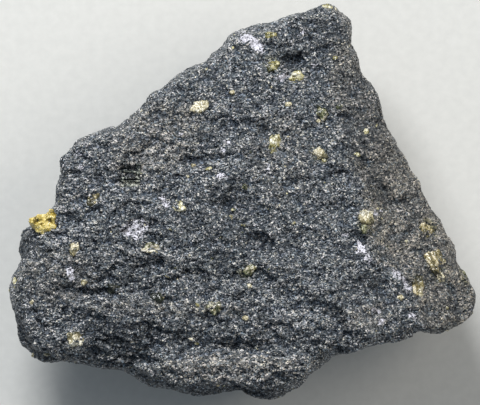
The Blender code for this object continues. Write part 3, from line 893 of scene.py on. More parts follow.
# Darker places: partly the stone's own darker tone, partly painted shade in pits, hollows, risers and on
# the underside.
DARK_TONE_AND_SHADE_PLACES = (
    Patch(-1.8, 1.0, 8.0, 6.0, 20.0, 0.55),
    Patch(2.8, -6.0, 4.0, 4.0, 0.0, 0.6),
    Patch(-1.0, -4.5, 16.0, 13.0, 0.0, 0.45),
    Patch(-19.6, -21.6, 12.0, 6.0, -10.0, 0.8),
    Patch(1.0, -22.2, 26.0, 3.4, 2.0, 0.1),
    Patch(-14.0, -11.5, 18.0, 5.0, -5.0, 0.4),
    Patch(-31.5, -22.0, 8.0, 5.5, 0.0, 0.5),
    Patch(-1.0, -30.6, 26.0, 2.2, 0.0, 0.9),
    Patch(7.9, 22.8, 3.2, 1.6, 0.0, 0.9),
    Patch(11.5, 23.5, 4.6, 3.6, 40.0, 0.4),
    Patch(12.0, 24.5, 14.0, 9.0, 0.0, 0.6),
    Patch(20.6, -13.0, 6.0, 4.0, -10.0, 0.4),
    Patch(19.3, 12.0, 6.5, 24.0, 15.0, 0.7),
    Patch(-35.0, -6.3, 3.0, 5.0, 10.0, 1.6),
    Patch(-18.2, 4.8, 4.4, 3.4, 0.0, 0.4),
    Patch(-20.4, -14.0, 2.2, 1.8, 0.0, 1.0),
    Patch(-19.5, 3.7, 0.9, 1.3, 0.0, 1.4),
    Patch(-13.4, -15.0, 2.4, 1.8, 0.0, 0.8),
    Patch(1.2, -10.8, 4.6, 3.0, 20.0, 0.5),
)
# Warm places: partly warm tone, partly painted warm light.
WARM_TONE_AND_LIGHT_PLACES = (
    Patch(-13.5, 10.0, 16.0, 10.0, 35.0, 0.5),
    Patch(-29.0, -12.0, 12.0, 9.0, 0.0, 0.4),
    Patch(-2.0, -26.3, 24.0, 4.4, 2.0, 0.5),
    Patch(6.0, 7.0, 9.0, 14.0, 0.0, 0.25),
    Patch(-12.0, -16.9, 26.0, 2.4, -2.0, 0.4),
    Patch(20.0, -18.2, 9.0, 4.0, 10.0, 0.4),
)


@dataclass(frozen=True)
class RightFace:
    """The face on the right, warm in tone and in painted warm light, behind a ridge that is given from the
    top down.
    """

    ridge: tuple[Pair, ...] = (
        (13.0, 16.0),
        (18.5, 0.0),
        (19.0, -5.5),
        (21.0, -9.5),
        (24.2, -11.0),
        (26.8, -14.5),
        (26.2, -17.0),
        (28.3, -20.0),
    )
    warm_tone_and_light: float = 0.80
    wander: float = 0.35
    wander_size: float = 5.0
    blend: float = 2.0
    stir_size: float = 1.6
    cooler: float = 0.45
    cooler_from: float = 2.0
    cooler_over: float = 14.0

    def ridge_x(self, y: float) -> float:
        """Where the ridge lies at a height on the upper face.

        Args:
            y: The height.

        Returns:
            The ridge's place along the face.
        """
        if y >= self.ridge[0][1]:
            return self.ridge[0][0]
        for (x0, y0), (x1, y1) in zip(self.ridge, self.ridge[1:]):
            if y1 <= y <= y0:
                return x0 + (x1 - x0) * (y0 - y) / (y0 - y1)
        return self.ridge[-1][0]

    def warm_and_lit_share(self, point: Vector) -> float:
        """How much warm tone and painted warm light the face has at a point.

        Args:
            point: The point, in millimetres.

        Returns:
            About 0.8 on the face, less towards its top, and 0 to the left of the ridge.
        """
        stir = noise.noise(point / self.stir_size)
        inside = smooth_step((point.x + stir - self.ridge_x(point.y)) / self.blend)
        cooler = self.cooler * smooth_step((point.y - self.cooler_from) / self.cooler_over)
        return inside * (self.warm_tone_and_light - cooler + self.wander * noise.noise(point / self.wander_size))


class Rim:
    """How far the block reaches from its hub all round, seen from above."""

    HUB = Vector((0.0, -4.0))
    STEPS = 720

    def __init__(self, shape: Shape) -> None:
        """Reads the reach of a shape.

        Args:
            shape: The shape, in millimetres.
        """
        self.far = [0.0] * self.STEPS
        for vert in shape.verts:
            away = vert.co.to_2d() - self.HUB
            step = int(self.turn_of(away)) % self.STEPS
            self.far[step] = max(self.far[step], away.length)

    def turn_of(self, away: Vector) -> float:
        """A direction as a number of steps round the hub."""
        return math.atan2(away.y, away.x) % math.tau / math.tau * self.STEPS

    def inset(self, point: Vector) -> float:
        """How far a point lies inside the outline.

        Args:
            point: The point, in millimetres.

        Returns:
            Its distance to the outline, away from the hub.
        """
        away = point.to_2d() - self.HUB
        turn = self.turn_of(away) - 0.5
        step = math.floor(turn)
        share = turn - step
        far = self.far[step % self.STEPS] * (1.0 - share) + self.far[(step + 1) % self.STEPS] * share
        return far - away.length


class RockSurface:
    """The skin of a shape in millimetres, to find what lies on it and what it leaves open."""

    ABOVE = 60.0
    OUTSIDE = 120.0
    LOOK_COUNT = 220
    LOOK_SEED = 7

    def __init__(self, shape: Shape) -> None:
        """Reads the skin of a shape in millimetres."""
        self.tree = BVHTree.FromBMesh(shape)

    def below(self, x: float, y: float) -> tuple[Vector, Vector] | None:
        """Where a straight look down meets the rock, and the rock's normal there."""
        hit, normal, _, _ = self.tree.ray_cast(Vector((x, y, self.ABOVE)), DOWN)
        return None if hit is None else (hit, normal)

    def toward(self, middle: Vector, outward: Vector) -> tuple[Vector, Vector] | None:
        """Where a look from outside towards a middle point meets the rock, and its normal there."""
        hit, normal, _, _ = self.tree.ray_cast(middle + outward * self.OUTSIDE, -outward)
        return None if hit is None else (hit, normal)

    def open_side(self, point: Vector) -> Vector:
        """The direction in which a point in a socket looks out of the rock.

        Args:
            point: The point, in millimetres.

        Returns:
            The mean of the directions in which nothing is in the way.
        """
        total = Vector((0.0, 0.0, 0.0))
        rng = random.Random(self.LOOK_SEED)
        for _ in range(self.LOOK_COUNT):
            look = Vector((rng.gauss(0.0, 1.0), rng.gauss(0.0, 1.0), rng.gauss(0.0, 1.0))).normalized()
            if self.tree.ray_cast(point, look)[0] is None:
                total += look
        return total.normalized() if total.length > 0.0 else UP.copy()


@dataclass
class BasaltBlock:
    """The groundmass: the CAD stone's form with its sockets filled and a fine broken relief."""

    node: bpy.types.Object
    voxel: float = 0.30
    triangles: int = 190_000
    facets: tuple[Facets, ...] = (
        Facets((3.4, 1.7, 2.6), 0.15, -0.08, 0.05),
        Facets((1.5, 0.75, 1.2), 0.22, -0.14, 0.03),
        Facets((0.75, 0.45, 0.6), 0.26, -0.14),
    )
    stir: float = 0.35
    stir_size: float = 1.9
    roughen: float = 0.03
    roughen_size: float = 0.55
    right: RightFace = RightFace()
    right_blend: float = 3.0
    right_calm: float = 0.30
    lower_left_from: float = 2.0
    lower_left_over: float = 24.0
    lower_left_loud: float = 0.5
    foot_quiet: float = 1.6
    rim_quiet: float = 1.5
    rim_relief: float = 0.35
    plug_grow: float = 0.45
    plug_sink: float = 0.30
    nodule_plug_sink: float = 1.60
    hollow_rounds: int = 6
    hollow_depth: float = 0.16
    patch_stir: float = 0.55
    patch_stir_size: float = 0.9

    def plug(self, crystal: bpy.types.Object, sockets: RockSurface) -> Shape:
        """The filling of a crystal's socket: the crystal grown sideways and sunk under its own top.

        Args:
            crystal: The crystal's CAD node.
            sockets: The CAD stone with its sockets open.

        Returns:
            The filling's mesh.
        """
        shape = taken_from(crystal)
        middle, half = middle_of(shape)
        outward = sockets.open_side(middle)
        sink = self.nodule_plug_sink if crystal.name == NODULE_NODE else self.plug_sink
        seat = middle - outward * (self.plug_grow + sink)
        widened(shape, middle, half, self.plug_grow, seat)
        return shape

    def loudness(self, point: Vector, normal: Vector, rim: Rim) -> float:
        """How strong the relief is at a point.

        Args:
            point: The point, in millimetres.
            normal: The skin's normal there.
            rim: The block's reach all round.

        Returns:
            A share: low at the rim, at the foot and on the right face, and above 1 in the lower left.
        """
        upward = smooth_step(normal.z * 2.0)
        right = smooth_step((point.x - self.right.ridge_x(point.y)) / self.right_blend) * upward
        corner = -point.x - point.y + self.lower_left_from
        left = smooth_step(corner / self.lower_left_over) * upward
        edge = smooth_step(point.z / self.foot_quiet)
        edge *= self.rim_relief + (1.0 - self.rim_relief) * smooth_step(rim.inset(point) / self.rim_quiet)
        return edge * (1.0 - (1.0 - self.right_calm) * right + self.lower_left_loud * left)

    def roughened(self, shape: Shape) -> None:
        """Moves every point out or in by the relief of the small broken planes.

        Args:
            shape: The block's skin.
        """
        shape.normal_update()
        rim = Rim(shape)
        moves = []
        for vert in shape.verts:
            stir = noise.noise_vector(vert.co / self.stir_size) * self.stir
            height = sum(facets.height(vert.co + stir) for facets in self.facets)
            height += self.roughen * noise.noise(vert.co / self.roughen_size)
            moves.append(vert.normal * height * self.loudness(vert.co, vert.normal, rim))
        for vert, move in zip(shape.verts, moves):
            vert.co += move

    def held_inside(self, shape: Shape) -> None:
        """Holds every point inside the CAD stone's box.

        Args:
            shape: The block's skin.
        """
        low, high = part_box(STONE_NODE)
        for vert in shape.verts:
            for axis in range(3):
                vert.co[axis] = min(high[axis] / MM, max(low[axis] / MM, vert.co[axis]))

    def hollow_shade_share(self, shape: Shape) -> np.ndarray:
        """Finds the small hollows that are darkened with painted shade, by how far each point lies under
        its smoothed place.

        Args:
            shape: The block's skin.

        Returns:
            How deep each point lies in a hollow, from 0 to 1.
        """
        points = np.array([vert.co for vert in shape.verts])
        normals = np.array([vert.normal for vert in shape.verts])
        edges = np.array([[vert.index for vert in edge.verts] for edge in shape.edges])
        count = np.bincount(edges.ravel(), minlength=len(points)).clip(1)[:, None]
        smooth = points.copy()
        for _ in range(self.hollow_rounds):
            total = np.zeros_like(smooth)
            np.add.at(total, edges[:, 0], smooth[edges[:, 1]])
            np.add.at(total, edges[:, 1], smooth[edges[:, 0]])
            smooth = total / count
        depth = ((smooth - points) * normals).sum(axis=1)
        return np.clip(depth / self.hollow_depth, 0.0, 1.0)

    def painted(self, shape: Shape) -> None:
        """Paints shade into the hollows, warm tone and warm light on the warm places, paler and darker
        places that are partly the stone's tone and partly painted light and shade, and the bruises and
        stains.

        Args:
            shape: The block's skin.
        """
        shape.normal_update()
        shape.verts.index_update()
        # Painted shade in the hollows.
        paint(shape, "hollow_shade", self.hollow_shade_share(shape))
        warm_tone_and_light, tones = [], []
        for vert in shape.verts:
            upward = smooth_step(vert.normal.z * 2.0 + 0.4)
            # Warm tone with painted warm light on the right face and the warm places.
            warm_tone_and_light.append(upward * max(self.right.warm_and_lit_share(vert.co), self.patched(vert.co, WARM_TONE_AND_LIGHT_PLACES)))
            # Paler and darker places: partly tone, partly painted light and painted shade.
            pale = self.patched(vert.co, PALE_TONE_AND_LIGHT_PLACES)
            tones.append(upward * (pale - self.patched(vert.co, DARK_TONE_AND_SHADE_PLACES)))
        paint(shape, "warm_tone_and_light", warm_tone_and_light)
        paint(shape, "tone", tones)
        facing = [smooth_step(vert.normal.z * 2.5 - 0.4) for vert in shape.verts]
        for name, patches in (("bruise", BRUISES), ("stain", STAINS)):
            values = (self.patched(vert.co, patches) * share for vert, share in zip(shape.verts, facing))
            paint(shape, name, values)

    def patched(self, point: Vector, patches: tuple[Patch, ...]) -> float:
        """The strongest patch at a point, with an uneven edge."""
        stir = noise.noise_vector(point / self.patch_stir_size) * self.patch_stir
        return max(patch.weight(point.x + stir.x, point.y + stir.y) for patch in patches)

    def build(self, crystals: list[bpy.types.Object], finish: BasaltFinish) -> RockSurface:
        """Makes the groundmass.

        Args:
            crystals: The CAD nodes of the crystals, whose sockets are filled.
            finish: The groundmass's finish.

        Returns:
            The skin that small crystals are set on.
        """
        shape = taken_from(self.node)
        sockets = RockSurface(shape)
        for crystal in crystals:
            join_in(shape, self.plug(crystal, sockets))
        shape = remeshed(shape, self.voxel)
        axes = {"use_axis_x": True, "use_axis_y": True, "use_axis_z": True}
        bmesh.ops.smooth_vert(shape, verts=shape.verts, factor=0.5, **axes)
        self.roughened(shape)
        self.held_inside(shape)
        bmesh.ops.triangulate(shape, faces=shape.faces)
        shape = with_modifier(shape, "DECIMATE", ratio=min(1.0, self.triangles / len(shape.faces)))
        self.painted(shape)
        surface = RockSurface(shape)
        add_piece("groundmass", shape, finish.build(), STONE_NODE)
        return surface


@dataclass(frozen=True)
class GrainCells:
    """Olivine grains grown together: cells with their own tilt and height, and seams between them.

    A streak above 1 makes the cells that much longer along a direction in the upper face.
    """

    size: float = 0.45
    tilt: float = 0.34
    step: float = 0.05
    seam_width: float = 0.08
    seam_depth: float = 0.03
    streak: float = 1.0
    turn: float = 0.0

    def streaked(self, point: Vector) -> Vector:
        """Carries a point to the grains' own space, where the streaks are as short as the other sides.

        Args:
            point: The point, in millimetres.

        Returns:
            The point in that space.
        """
        own = Matrix.Rotation(-math.radians(self.turn), 3, "Z") @ point
        own.x /= self.streak
        return own

    def read(self, point: Vector) -> Triple:
        """What the grains are at a point.

        Args:
            point: The point, in millimetres.

        Returns:
            The height that they stand out, the grain's own chance, and how near the seam is, from 0 to 1.
        """
        scaled = self.streaked(point) / self.size
        distances, centres = noise.voronoi(scaled)
        draw = noise.cell_vector(centres[0] * CELL_DRAW)
        away = (scaled - centres[0]) * self.size
        slope = (draw * 2.0 - Vector((1.0, 1.0, 1.0))) * self.tilt
        seam = 1.0 - smooth_step((distances[1] - distances[0]) * self.size / self.seam_width)
        height = away.dot(slope) + (draw.z * 2.0 - 1.0) * self.step - seam * self.seam_depth
        return height, draw.y, seam


@dataclass(frozen=True)
class CrystalLook:
    """How a crystal of the upper face is shaded.

    Its bright side is an angle in the upper face, the grade is how much brighter it is on that side, the
    level is how bright it is in all, its streaks run along a turn, its top is sunk a little, and the core
    is how much darker its middle is.
    """

    bright_side: float = 90.0
    grade: float = 0.15
    level: float = 0.0
    streak: float = 1.3
    turn: float = 0.0
    sink: float = 0.02
    core: float = 0.0
    core_size: float = 0.40
    contrast: float = 0.9

    def chance(self, place: Vector, draw: float) -> float:
        """How pale a grain is.

        Args:
            place: The grain's place in the crystal, from -1 to 1 along each side.
            draw: The grain's own chance, from 0 to 1.

        Returns:
            Where the grain lies on its olivine's row of colours, from 0 to 1.
        """
        angle = math.radians(self.bright_side)
        side = place.x * math.cos(angle) + place.y * math.sin(angle)
        core = self.core * smooth_step(1.2 - place.length / self.core_size)
        return 0.5 + self.level + self.grade * side + self.contrast * (draw - 0.5) - core


LOOKS: dict[str, CrystalLook] = {
    "olivine_crest_left": CrystalLook(level=-0.27, turn=15.0),
    "olivine_crest_ledge": CrystalLook(60.0, 0.30, -0.28),
    "olivine_below_pit": CrystalLook(80.0, 0.25, 0.24, 2.0, 8.0),
    "olivine_upper_left": CrystalLook(100.0, 0.15, 0.26, 1.3, 20.0),
    "olivine_upper_dark": CrystalLook(250.0, 0.35, 0.22),
    "olivine_upright": CrystalLook(100.0, 0.20, 0.08, 1.8, 85.0),
    "olivine_cluster_upper": CrystalLook(140.0, 0.50, -0.16, 1.8, -35.0, 0.12),
    "olivine_centre_left": CrystalLook(330.0, 0.30, 0.30),
    "olivine_crescent": CrystalLook(268.0, 0.60, 0.52, 1.6, -4.0),
    "olivine_near_crack": CrystalLook(level=-0.36, core=0.20),
    "olivine_left": CrystalLook(70.0, 0.20, 0.14, core=0.85),
    "olivine_left_dark": CrystalLook(level=-0.60),
    "olivine_ledge_dark": CrystalLook(0.0, 0.45, -0.80, 1.5, 80.0),
    "olivine_lower_left": CrystalLook(265.0, 0.70, 0.20, 1.6, 70.0),
    "olivine_lower_middle": CrystalLook(level=0.38),
    "olivine_diagonal": CrystalLook(60.0, 0.20, 0.32, 2.2, 40.0),
    "olivine_ridge_pale": CrystalLook(110.0, 0.60, 0.12, 1.8, -60.0, -0.04),
    "olivine_right_edge": CrystalLook(level=-0.13, streak=1.8, turn=40.0, sink=0.18),
    "olivine_right_cluster": CrystalLook(150.0, 0.35, -0.08, 3.0, -62.0, 0.24),
    "olivine_right_lower": CrystalLook(285.0, 0.55, -0.11, 2.6, -75.0, 0.10),
}


@dataclass
class OlivineCrystal:
    """A crystal in its socket: a granular mesh in the place of its CAD node, uneven at its edge."""

    node: bpy.types.Object
    tint: Tint
    outward: Vector
    size: float = 0.36
    voxel: float = 0.10
    widen: float = 0.22
    wander: float = 0.34
    wander_size: float = 0.75
    edge_start: float = 0.60
    edge_end: float = 1.1
    edge_dark: float = 0.28
    edge_stir: float = 0.35
    edge_stir_size: float = 0.45

    def build(self, material: bpy.types.Material) -> None:
        """Makes the crystal.

        Args:
            material: Its material.
        """
        look = LOOKS.get(self.node.name, CrystalLook())
        shape = taken_from(self.node)
        middle, half = middle_of(shape)
        seat = middle - self.outward * (self.widen + look.sink)
        widened(shape, middle, half, self.widen, seat)
        shape = remeshed(shape, self.voxel)
        self.broken_up(shape, look, middle, half)
        add_piece(f"{self.node.name}_crystal", shape, material, self.node.name)

    def broken_up(self, shape: Shape, look: CrystalLook, middle: Vector, half: Vector) -> None:
        """Breaks the skin up into grains, paints their tones and seams, and keeps it above the ground.

        Args:
            shape: The crystal's skin.
            look: How the crystal is shaded.
            middle: The middle of the crystal.
            half: Half of the sides of its box.
        """
        grains = GrainCells(self.size, streak=look.streak, turn=look.turn)
        shape.normal_update()
        heights, chances, seams = [], [], []
        for vert in shape.verts:
            height, draw, seam = grains.read(vert.co)
            heights.append(height + self.wander * noise.noise(grains.streaked(vert.co) / self.wander_size))
            away = vert.co - middle
            place = Vector((away.x / half.x, away.y / half.y, 0.0))
            stir = self.edge_stir * noise.noise(vert.co / self.edge_stir_size)
            inside = place.length + stir - self.edge_start
            edge = smooth_step(inside / (self.edge_end - self.edge_start))
            chances.append(look.chance(place, draw) - self.edge_dark * edge)
            seams.append(seam)
        grain_up(shape, heights, chances, seams)
        for vert in shape.verts:
            vert.co.z = max(0.0, vert.co.z)


@dataclass(frozen=True)
class Pit:
    """A hole in the nodule, darkened with painted shade: its middle, radius and depth in millimetres, and
    how strong its painted shade is.
    """

    x: float
    y: float
    radius: float
    depth: float
    hole_shade: float

    def share(self, point: Vector) -> float:
        """How far inside the hole a point lies: 1 in its middle and 0 at its edge."""
        away = math.hypot(point.x - self.x, point.y - self.y) / self.radius
        return smooth_step(1.4 - away)


@dataclass
class Nodule:
    """The big cluster at the left end: bright grains grown together, with holes between them that are
    darkened with painted shade.
    """

    node: bpy.types.Object
    voxel: float = 0.10
    widen: float = 0.10
    coarse_voxel: float = 0.30
    grains: GrainCells = GrainCells(0.80, 0.22, 0.04, 0.08, 0.02)
    small_grains: GrainCells = GrainCells(0.34, 0.20, 0.02, 0.07, 0.01)
    stir: float = 0.25
    stir_size: float = 0.5
    contrast: float = 0.28
    small_contrast: float = 0.26
    seam_dark: float = 0.40
    small_seam_dark: float = 0.20
    brightness: float = 0.61
    brightest: Patch = Patch(-31.2, -4.6, 3.6, 2.2, 20.0, 0.16)
    dull: tuple[Patch, ...] = (
        Patch(-29.9, -1.2, 2.0, 1.8, 0.0, 0.26),
        Patch(-33.3, -2.6, 1.6, 1.6, 0.0, 0.14),
    )
    pit_shade: float = 0.8
    pits: tuple[Pit, ...] = (
        Pit(-32.5, -3.1, 0.42, 0.35, 0.38),
        Pit(-30.5, -3.1, 0.42, 0.50, 0.70),
        Pit(-31.8, -3.7, 0.28, 0.25, 0.30),
    )

    def build(self, material: bpy.types.Material) -> None:
        """Makes the nodule.

        Args:
            material: Its material.
        """
        shape = taken_from(self.node)
        middle, half = middle_of(shape)
        widened(shape, middle, half, self.widen, middle)
        shape = remeshed(remeshed(shape, self.coarse_voxel), self.voxel)
        self.broken_up(shape)
        add_piece(f"{self.node.name}_crystal", shape, material, self.node.name)

    def broken_up(self, shape: Shape) -> None:
        """Breaks the skin up into large and small grains, digs the holes, and paints both, with painted
        shade in the holes.

        Args:
            shape: The nodule's skin.
        """
        shape.normal_update()
        heights, chances, seams = [], [], []
        for vert in shape.verts:
            height, draw, seam = self.grains.read(vert.co)
            small_height, small_draw, small_seam = self.small_grains.read(vert.co)
            facing = smooth_step(vert.normal.z * 2.0)
            stirred = vert.co + self.stir * noise.noise_vector(vert.co / self.stir_size)
            # Painted shade in the holes, as deep as they are dug.
            hole_shade = max(pit.hole_shade * pit.share(stirred) for pit in self.pits) * facing
            depth = max(pit.depth * pit.share(stirred) for pit in self.pits) * facing
            heights.append(height + small_height - depth)
            chance = self.brightness + self.contrast * (draw - 0.5)
            chance += self.small_contrast * (small_draw - 0.5)
            chance += self.brightest.weight(stirred.x, stirred.y)
            chance -= max(patch.weight(stirred.x, stirred.y) for patch in self.dull)
            chances.append(chance - self.pit_shade * hole_shade)
            seams.append(max(self.seam_dark * seam, self.small_seam_dark * small_seam))
        grain_up(shape, heights, chances, seams)


@dataclass(frozen=True)
class Slot:
    """A slot across the stepped crystal, sunk and darkened with painted shade: its height on the upper
    face, its two ends and its width.
    """

    y: float
    left: float
    right: float
    width: float
    wander: float = 0.25
    wander_size: float = 0.9
    taper: float = 0.5

    def share(self, point: Vector) -> float:
        """How far inside the slot a point lies. The slot's course is uneven.

        Args:
            point: The point, in millimetres.

        Returns:
            1 in the slot's middle and 0 outside.
        """
        y = self.y + self.wander * noise.noise(Vector((point.x / self.wander_size, self.y, 0.0)))
        ends = smooth_step((point.x - self.left) / self.taper)
        ends *= smooth_step((self.right - point.x) / self.taper)
        return ends * smooth_step(1.5 - abs(point.y - y) / (0.5 * self.width))


@dataclass
class SteppedCrystal:
    """The dark crystal split along its cleavage: speckled treads with a sunk slot under each, darkened with
    painted shade.
    """

    node: bpy.types.Object
    voxel: float = 0.09
    widen: float = 0.15
    raise_by: float = 0.22
    wander: float = 0.18
    wander_size: float = 0.8
    slots: tuple[Slot, ...] = (
        Slot(5.75, -19.8, -16.7, 0.85),
        Slot(5.2, -18.2, -16.5, 0.45),
        Slot(4.4, -19.8, -16.6, 0.42),
        Slot(3.55, -18.9, -16.0, 0.26),
    )
    slot_depth: float = 0.8
    slot_shade: float = 0.8
    grains: GrainCells = GrainCells(0.26, 0.25, 0.03, 0.08, 0.02, 1.8)
    level: float = 0.44
    rise: float = -0.12
    contrast: float = 0.9
    seam_dark: float = 0.5

    def build(self, material: bpy.types.Material) -> None:
        """Makes the crystal.

        Args:
            material: Its material.
        """
        shape = taken_from(self.node)
        middle, half = middle_of(shape)
        widened(shape, middle, half, self.widen, middle + UP * (self.raise_by - self.widen))
        shape = remeshed(shape, self.voxel)
        shape.normal_update()
        heights, chances, seams = [], [], []
        for vert in shape.verts:
            height, draw, seam = self.grains.read(vert.co)
            slot = max(slot.share(vert.co) for slot in self.slots)
            wander = self.wander * noise.noise(vert.co / self.wander_size)
            heights.append(height + wander - slot * self.slot_depth)
            tone = self.level + self.rise * (vert.co.y - middle.y) + self.contrast * (draw - 0.5)
            # Painted shade in the slots.
            chances.append(tone - self.slot_shade * slot)
            seams.append(self.seam_dark * seam)
        grain_up(shape, heights, chances, seams)
        add_piece(f"{self.node.name}_crystal", shape, material, self.node.name)


@dataclass(frozen=True)
class SmallCrystal:
    """An olivine grain too small for the solids: its place on the upper face, its size, turn and tint."""

    x: float
    y: float
    length: float
    width: float
    turn: float
    tint: Tint


SMALL_CRYSTALS = (
    SmallCrystal(-36.1, -13.0, 0.8, 2.2, 10.0, Tint.YELLOW),
    SmallCrystal(-25.0, -12.8, 1.2, 1.0, 20.0, Tint.CREAM),
    SmallCrystal(-33.3, -15.9, 1.0, 0.8, 0.0, Tint.CREAM),
    SmallCrystal(-5.6, 21.0, 0.9, 0.7, 30.0, Tint.YELLOW),
    SmallCrystal(-1.5, 17.3, 1.1, 0.8, 0.0, Tint.CREAM),
    SmallCrystal(-7.7, 5.7, 0.9, 0.7, 40.0, Tint.CREAM),
    SmallCrystal(-5.2, 5.2, 1.2, 0.9, 15.0, Tint.YELLOW),
    SmallCrystal(0.5, 2.4, 0.9, 0.9, 0.0, Tint.GREEN),
    SmallCrystal(-1.7, -2.4, 0.8, 0.8, 0.0, Tint.CREAM),
    SmallCrystal(13.6, 31.0, 1.8, 0.9, -15.0, Tint.YELLOW),
    SmallCrystal(7.3, 15.5, 1.2, 0.8, 20.0, Tint.CREAM),
    SmallCrystal(12.2, 12.8, 0.9, 0.8, 0.0, Tint.CREAM),
    SmallCrystal(13.1, 6.6, 1.1, 0.9, -20.0, Tint.YELLOW),
    SmallCrystal(18.3, 7.5, 1.2, 0.9, 0.0, Tint.YELLOW),
    SmallCrystal(19.7, 11.1, 1.2, 0.9, 60.0, Tint.YELLOW),
    SmallCrystal(15.5, 15.0, 1.2, 0.9, 0.0, Tint.GREEN),
    SmallCrystal(14.8, 22.8, 0.9, 0.8, 0.0, Tint.YELLOW),
    SmallCrystal(19.4, -4.3, 1.2, 1.6, 0.0, Tint.GREEN),
    SmallCrystal(20.6, -2.9, 0.9, 1.4, 0.0, Tint.YELLOW),
    SmallCrystal(31.3, -12.2, 1.3, 0.5, -60.0, Tint.CREAM),
    SmallCrystal(31.9, -11.7, 1.2, 0.4, -60.0, Tint.CREAM),
    SmallCrystal(32.0, -9.3, 1.3, 0.5, -40.0, Tint.CREAM),
    SmallCrystal(29.9, -8.4, 1.5, 0.5, -62.0, Tint.CREAM),
    SmallCrystal(25.2, -15.2, 1.2, 0.9, 10.0, Tint.CREAM),
    SmallCrystal(28.4, -14.6, 0.9, 1.4, 20.0, Tint.CREAM),
    SmallCrystal(35.5, -11.6, 0.8, 2.0, 30.0, Tint.GREEN),
    SmallCrystal(1.2, -13.4, 0.9, 0.8, 0.0, Tint.CREAM),
    SmallCrystal(2.2, -10.4, 1.2, 0.6, 40.0, Tint.YELLOW),
    SmallCrystal(0.6, -18.4, 1.2, 0.8, 0.0, Tint.CREAM),
    SmallCrystal(-7.9, -21.8, 0.9, 0.7, 0.0, Tint.CREAM),
    SmallCrystal(-7.2, -22.4, 0.9, 0.7, 0.0, Tint.YELLOW),
    SmallCrystal(-33.2, -24.4, 0.9, 0.7, 0.0, Tint.CREAM),
    SmallCrystal(-30.8, -24.2, 1.6, 0.5, 5.0, Tint.CREAM),
    SmallCrystal(-22.6, -26.8, 0.9, 0.6, 0.0, Tint.YELLOW),
    SmallCrystal(-12.7, -15.1, 0.7, 1.0, 0.0, Tint.CREAM),
    SmallCrystal(-14.3, -7.9, 2.2, 0.6, -4.0, Tint.CREAM),
    SmallCrystal(8.2, -3.4, 0.6, 0.5, 0.0, Tint.YELLOW),
)


@dataclass
class SmallCrystals:
    """The many small olivine grains: those that the upper face shows, and a seeded scatter all round."""

    surface: RockSurface
    grains: GrainCells = GrainCells(size=0.38, tilt=0.3, step=0.05, seam_width=0.08, seam_depth=0.05)
    sink: float = 0.22
    thickness: float = 0.7
    scatter: int = 200
    scatter_small: float = 0.35
    scatter_large: float = 1.1
    scatter_bias: float = 2.5
    scatter_slimmest: float = 0.6
    shown_normal: float = 0.5
    shown_largest: float = 0.55
    foot_clear: float = 0.6
    seed: int = 41

    def grain(self, halves: Triple, place: Matrix) -> Shape:
        """Makes one grain, a ball stretched to its size.

        Args:
            halves: Half of its length, width and height.
            place: Its place in the rock.

        Returns:
            The grain's mesh.
        """
        shape = bmesh.new()
        bmesh.ops.create_icosphere(shape, subdivisions=3, radius=1.0)
        bmesh.ops.scale(shape, verts=shape.verts, vec=Vector(halves))
        bmesh.ops.transform(shape, matrix=place, verts=shape.verts)
        return shape

    def seat(self, hit: Vector, normal: Vector, turn: float, sink: float) -> Matrix:
        """The place of a grain whose own Z lies along the rock's normal.

        Args:
            hit: Where it meets the rock.
            normal: The rock's normal there.
            turn: Its turn about the normal, in degrees.
            sink: How deep its middle lies, in millimetres.

        Returns:
            The place.
        """
        upright = normal.to_track_quat("Z", "Y").to_matrix().to_4x4()
        turned = Matrix.Rotation(math.radians(turn), 4, "Z")
        return Matrix.Translation(hit - normal * sink) @ upright @ turned

    def shown(self) -> Iterable[tuple[Tint, Shape]]:
        """Makes the grains that the upper face shows.

        Yields:
            Each grain's tint and mesh.
        """
        for crystal in SMALL_CRYSTALS:
            found = self.surface.below(crystal.x, crystal.y)
            if found is None:
                LOG.warning("no rock under the small crystal at %.1f, %.1f", crystal.x, crystal.y)
                continue
            hit, normal = found
            normal = (normal + UP * 2.0).normalized()
            height = self.thickness * min(crystal.length, crystal.width)
            halves = (crystal.length / 2.0, crystal.width / 2.0, height / 2.0)
            level = Matrix.Rotation(math.radians(crystal.turn), 4, "Z")
            lean = UP.rotation_difference(normal).to_matrix().to_4x4()
            place = Matrix.Translation(hit - normal * self.sink * halves[2] * 2.0) @ lean @ level
            yield crystal.tint, self.grain(halves, place)

    def scattered(self) -> Iterable[tuple[Tint, Shape]]:
        """Makes grains of chance size and place on all sides of the rock.

        Yields:
            Each grain's tint and mesh.
        """
        rng = random.Random(self.seed)
        tints = (Tint.YELLOW, Tint.YELLOW, Tint.GREEN, Tint.CREAM)
        for _ in range(self.scatter):
            outward = Vector((rng.gauss(0.0, 1.0), rng.gauss(0.0, 1.0), rng.gauss(0.0, 0.8))).normalized()
            spread = self.scatter_large - self.scatter_small
            span = self.scatter_small + spread * rng.random() ** self.scatter_bias
            slimness = rng.uniform(self.scatter_slimmest, 1.0)
            turn = rng.uniform(0.0, 360.0)
            tint = rng.choice(tints)
            found = self.surface.toward(CORE, outward)
            if found is None or found[0].z < self.foot_clear:
                continue
            hit, normal = found
            if normal.z > self.shown_normal:
                span = min(span, self.shown_largest)
            halves = (span / 2.0, span * slimness / 2.0, self.thickness * span * slimness / 2.0)
            yield tint, self.grain(halves, self.seat(hit, normal, turn, self.sink * halves[2] * 2.0))

    def build(self, materials: dict[Tint, bpy.types.Material]) -> None:
        """Makes the grains, one piece for each tint.

        Args:
            materials: The material of each tint.
        """
        fields = {tint: bmesh.new() for tint in Tint}
        for tint, shape in (*self.shown(), *self.scattered()):
            join_in(fields[tint], shape)
        for tint, field in fields.items():
            self.broken_up(field)
            add_piece(f"small_{tint.value}", field, materials[tint])

    def broken_up(self, field: Shape) -> None:
        """Breaks the skins up into grains and paints them.

        Args:
            field: The skins of all grains of one tint.
        """
        field.normal_update()
        heights, chances, seams = zip(*(self.grains.read(vert.co) for vert in field.verts))
        grain_up(field, heights, chances, seams)


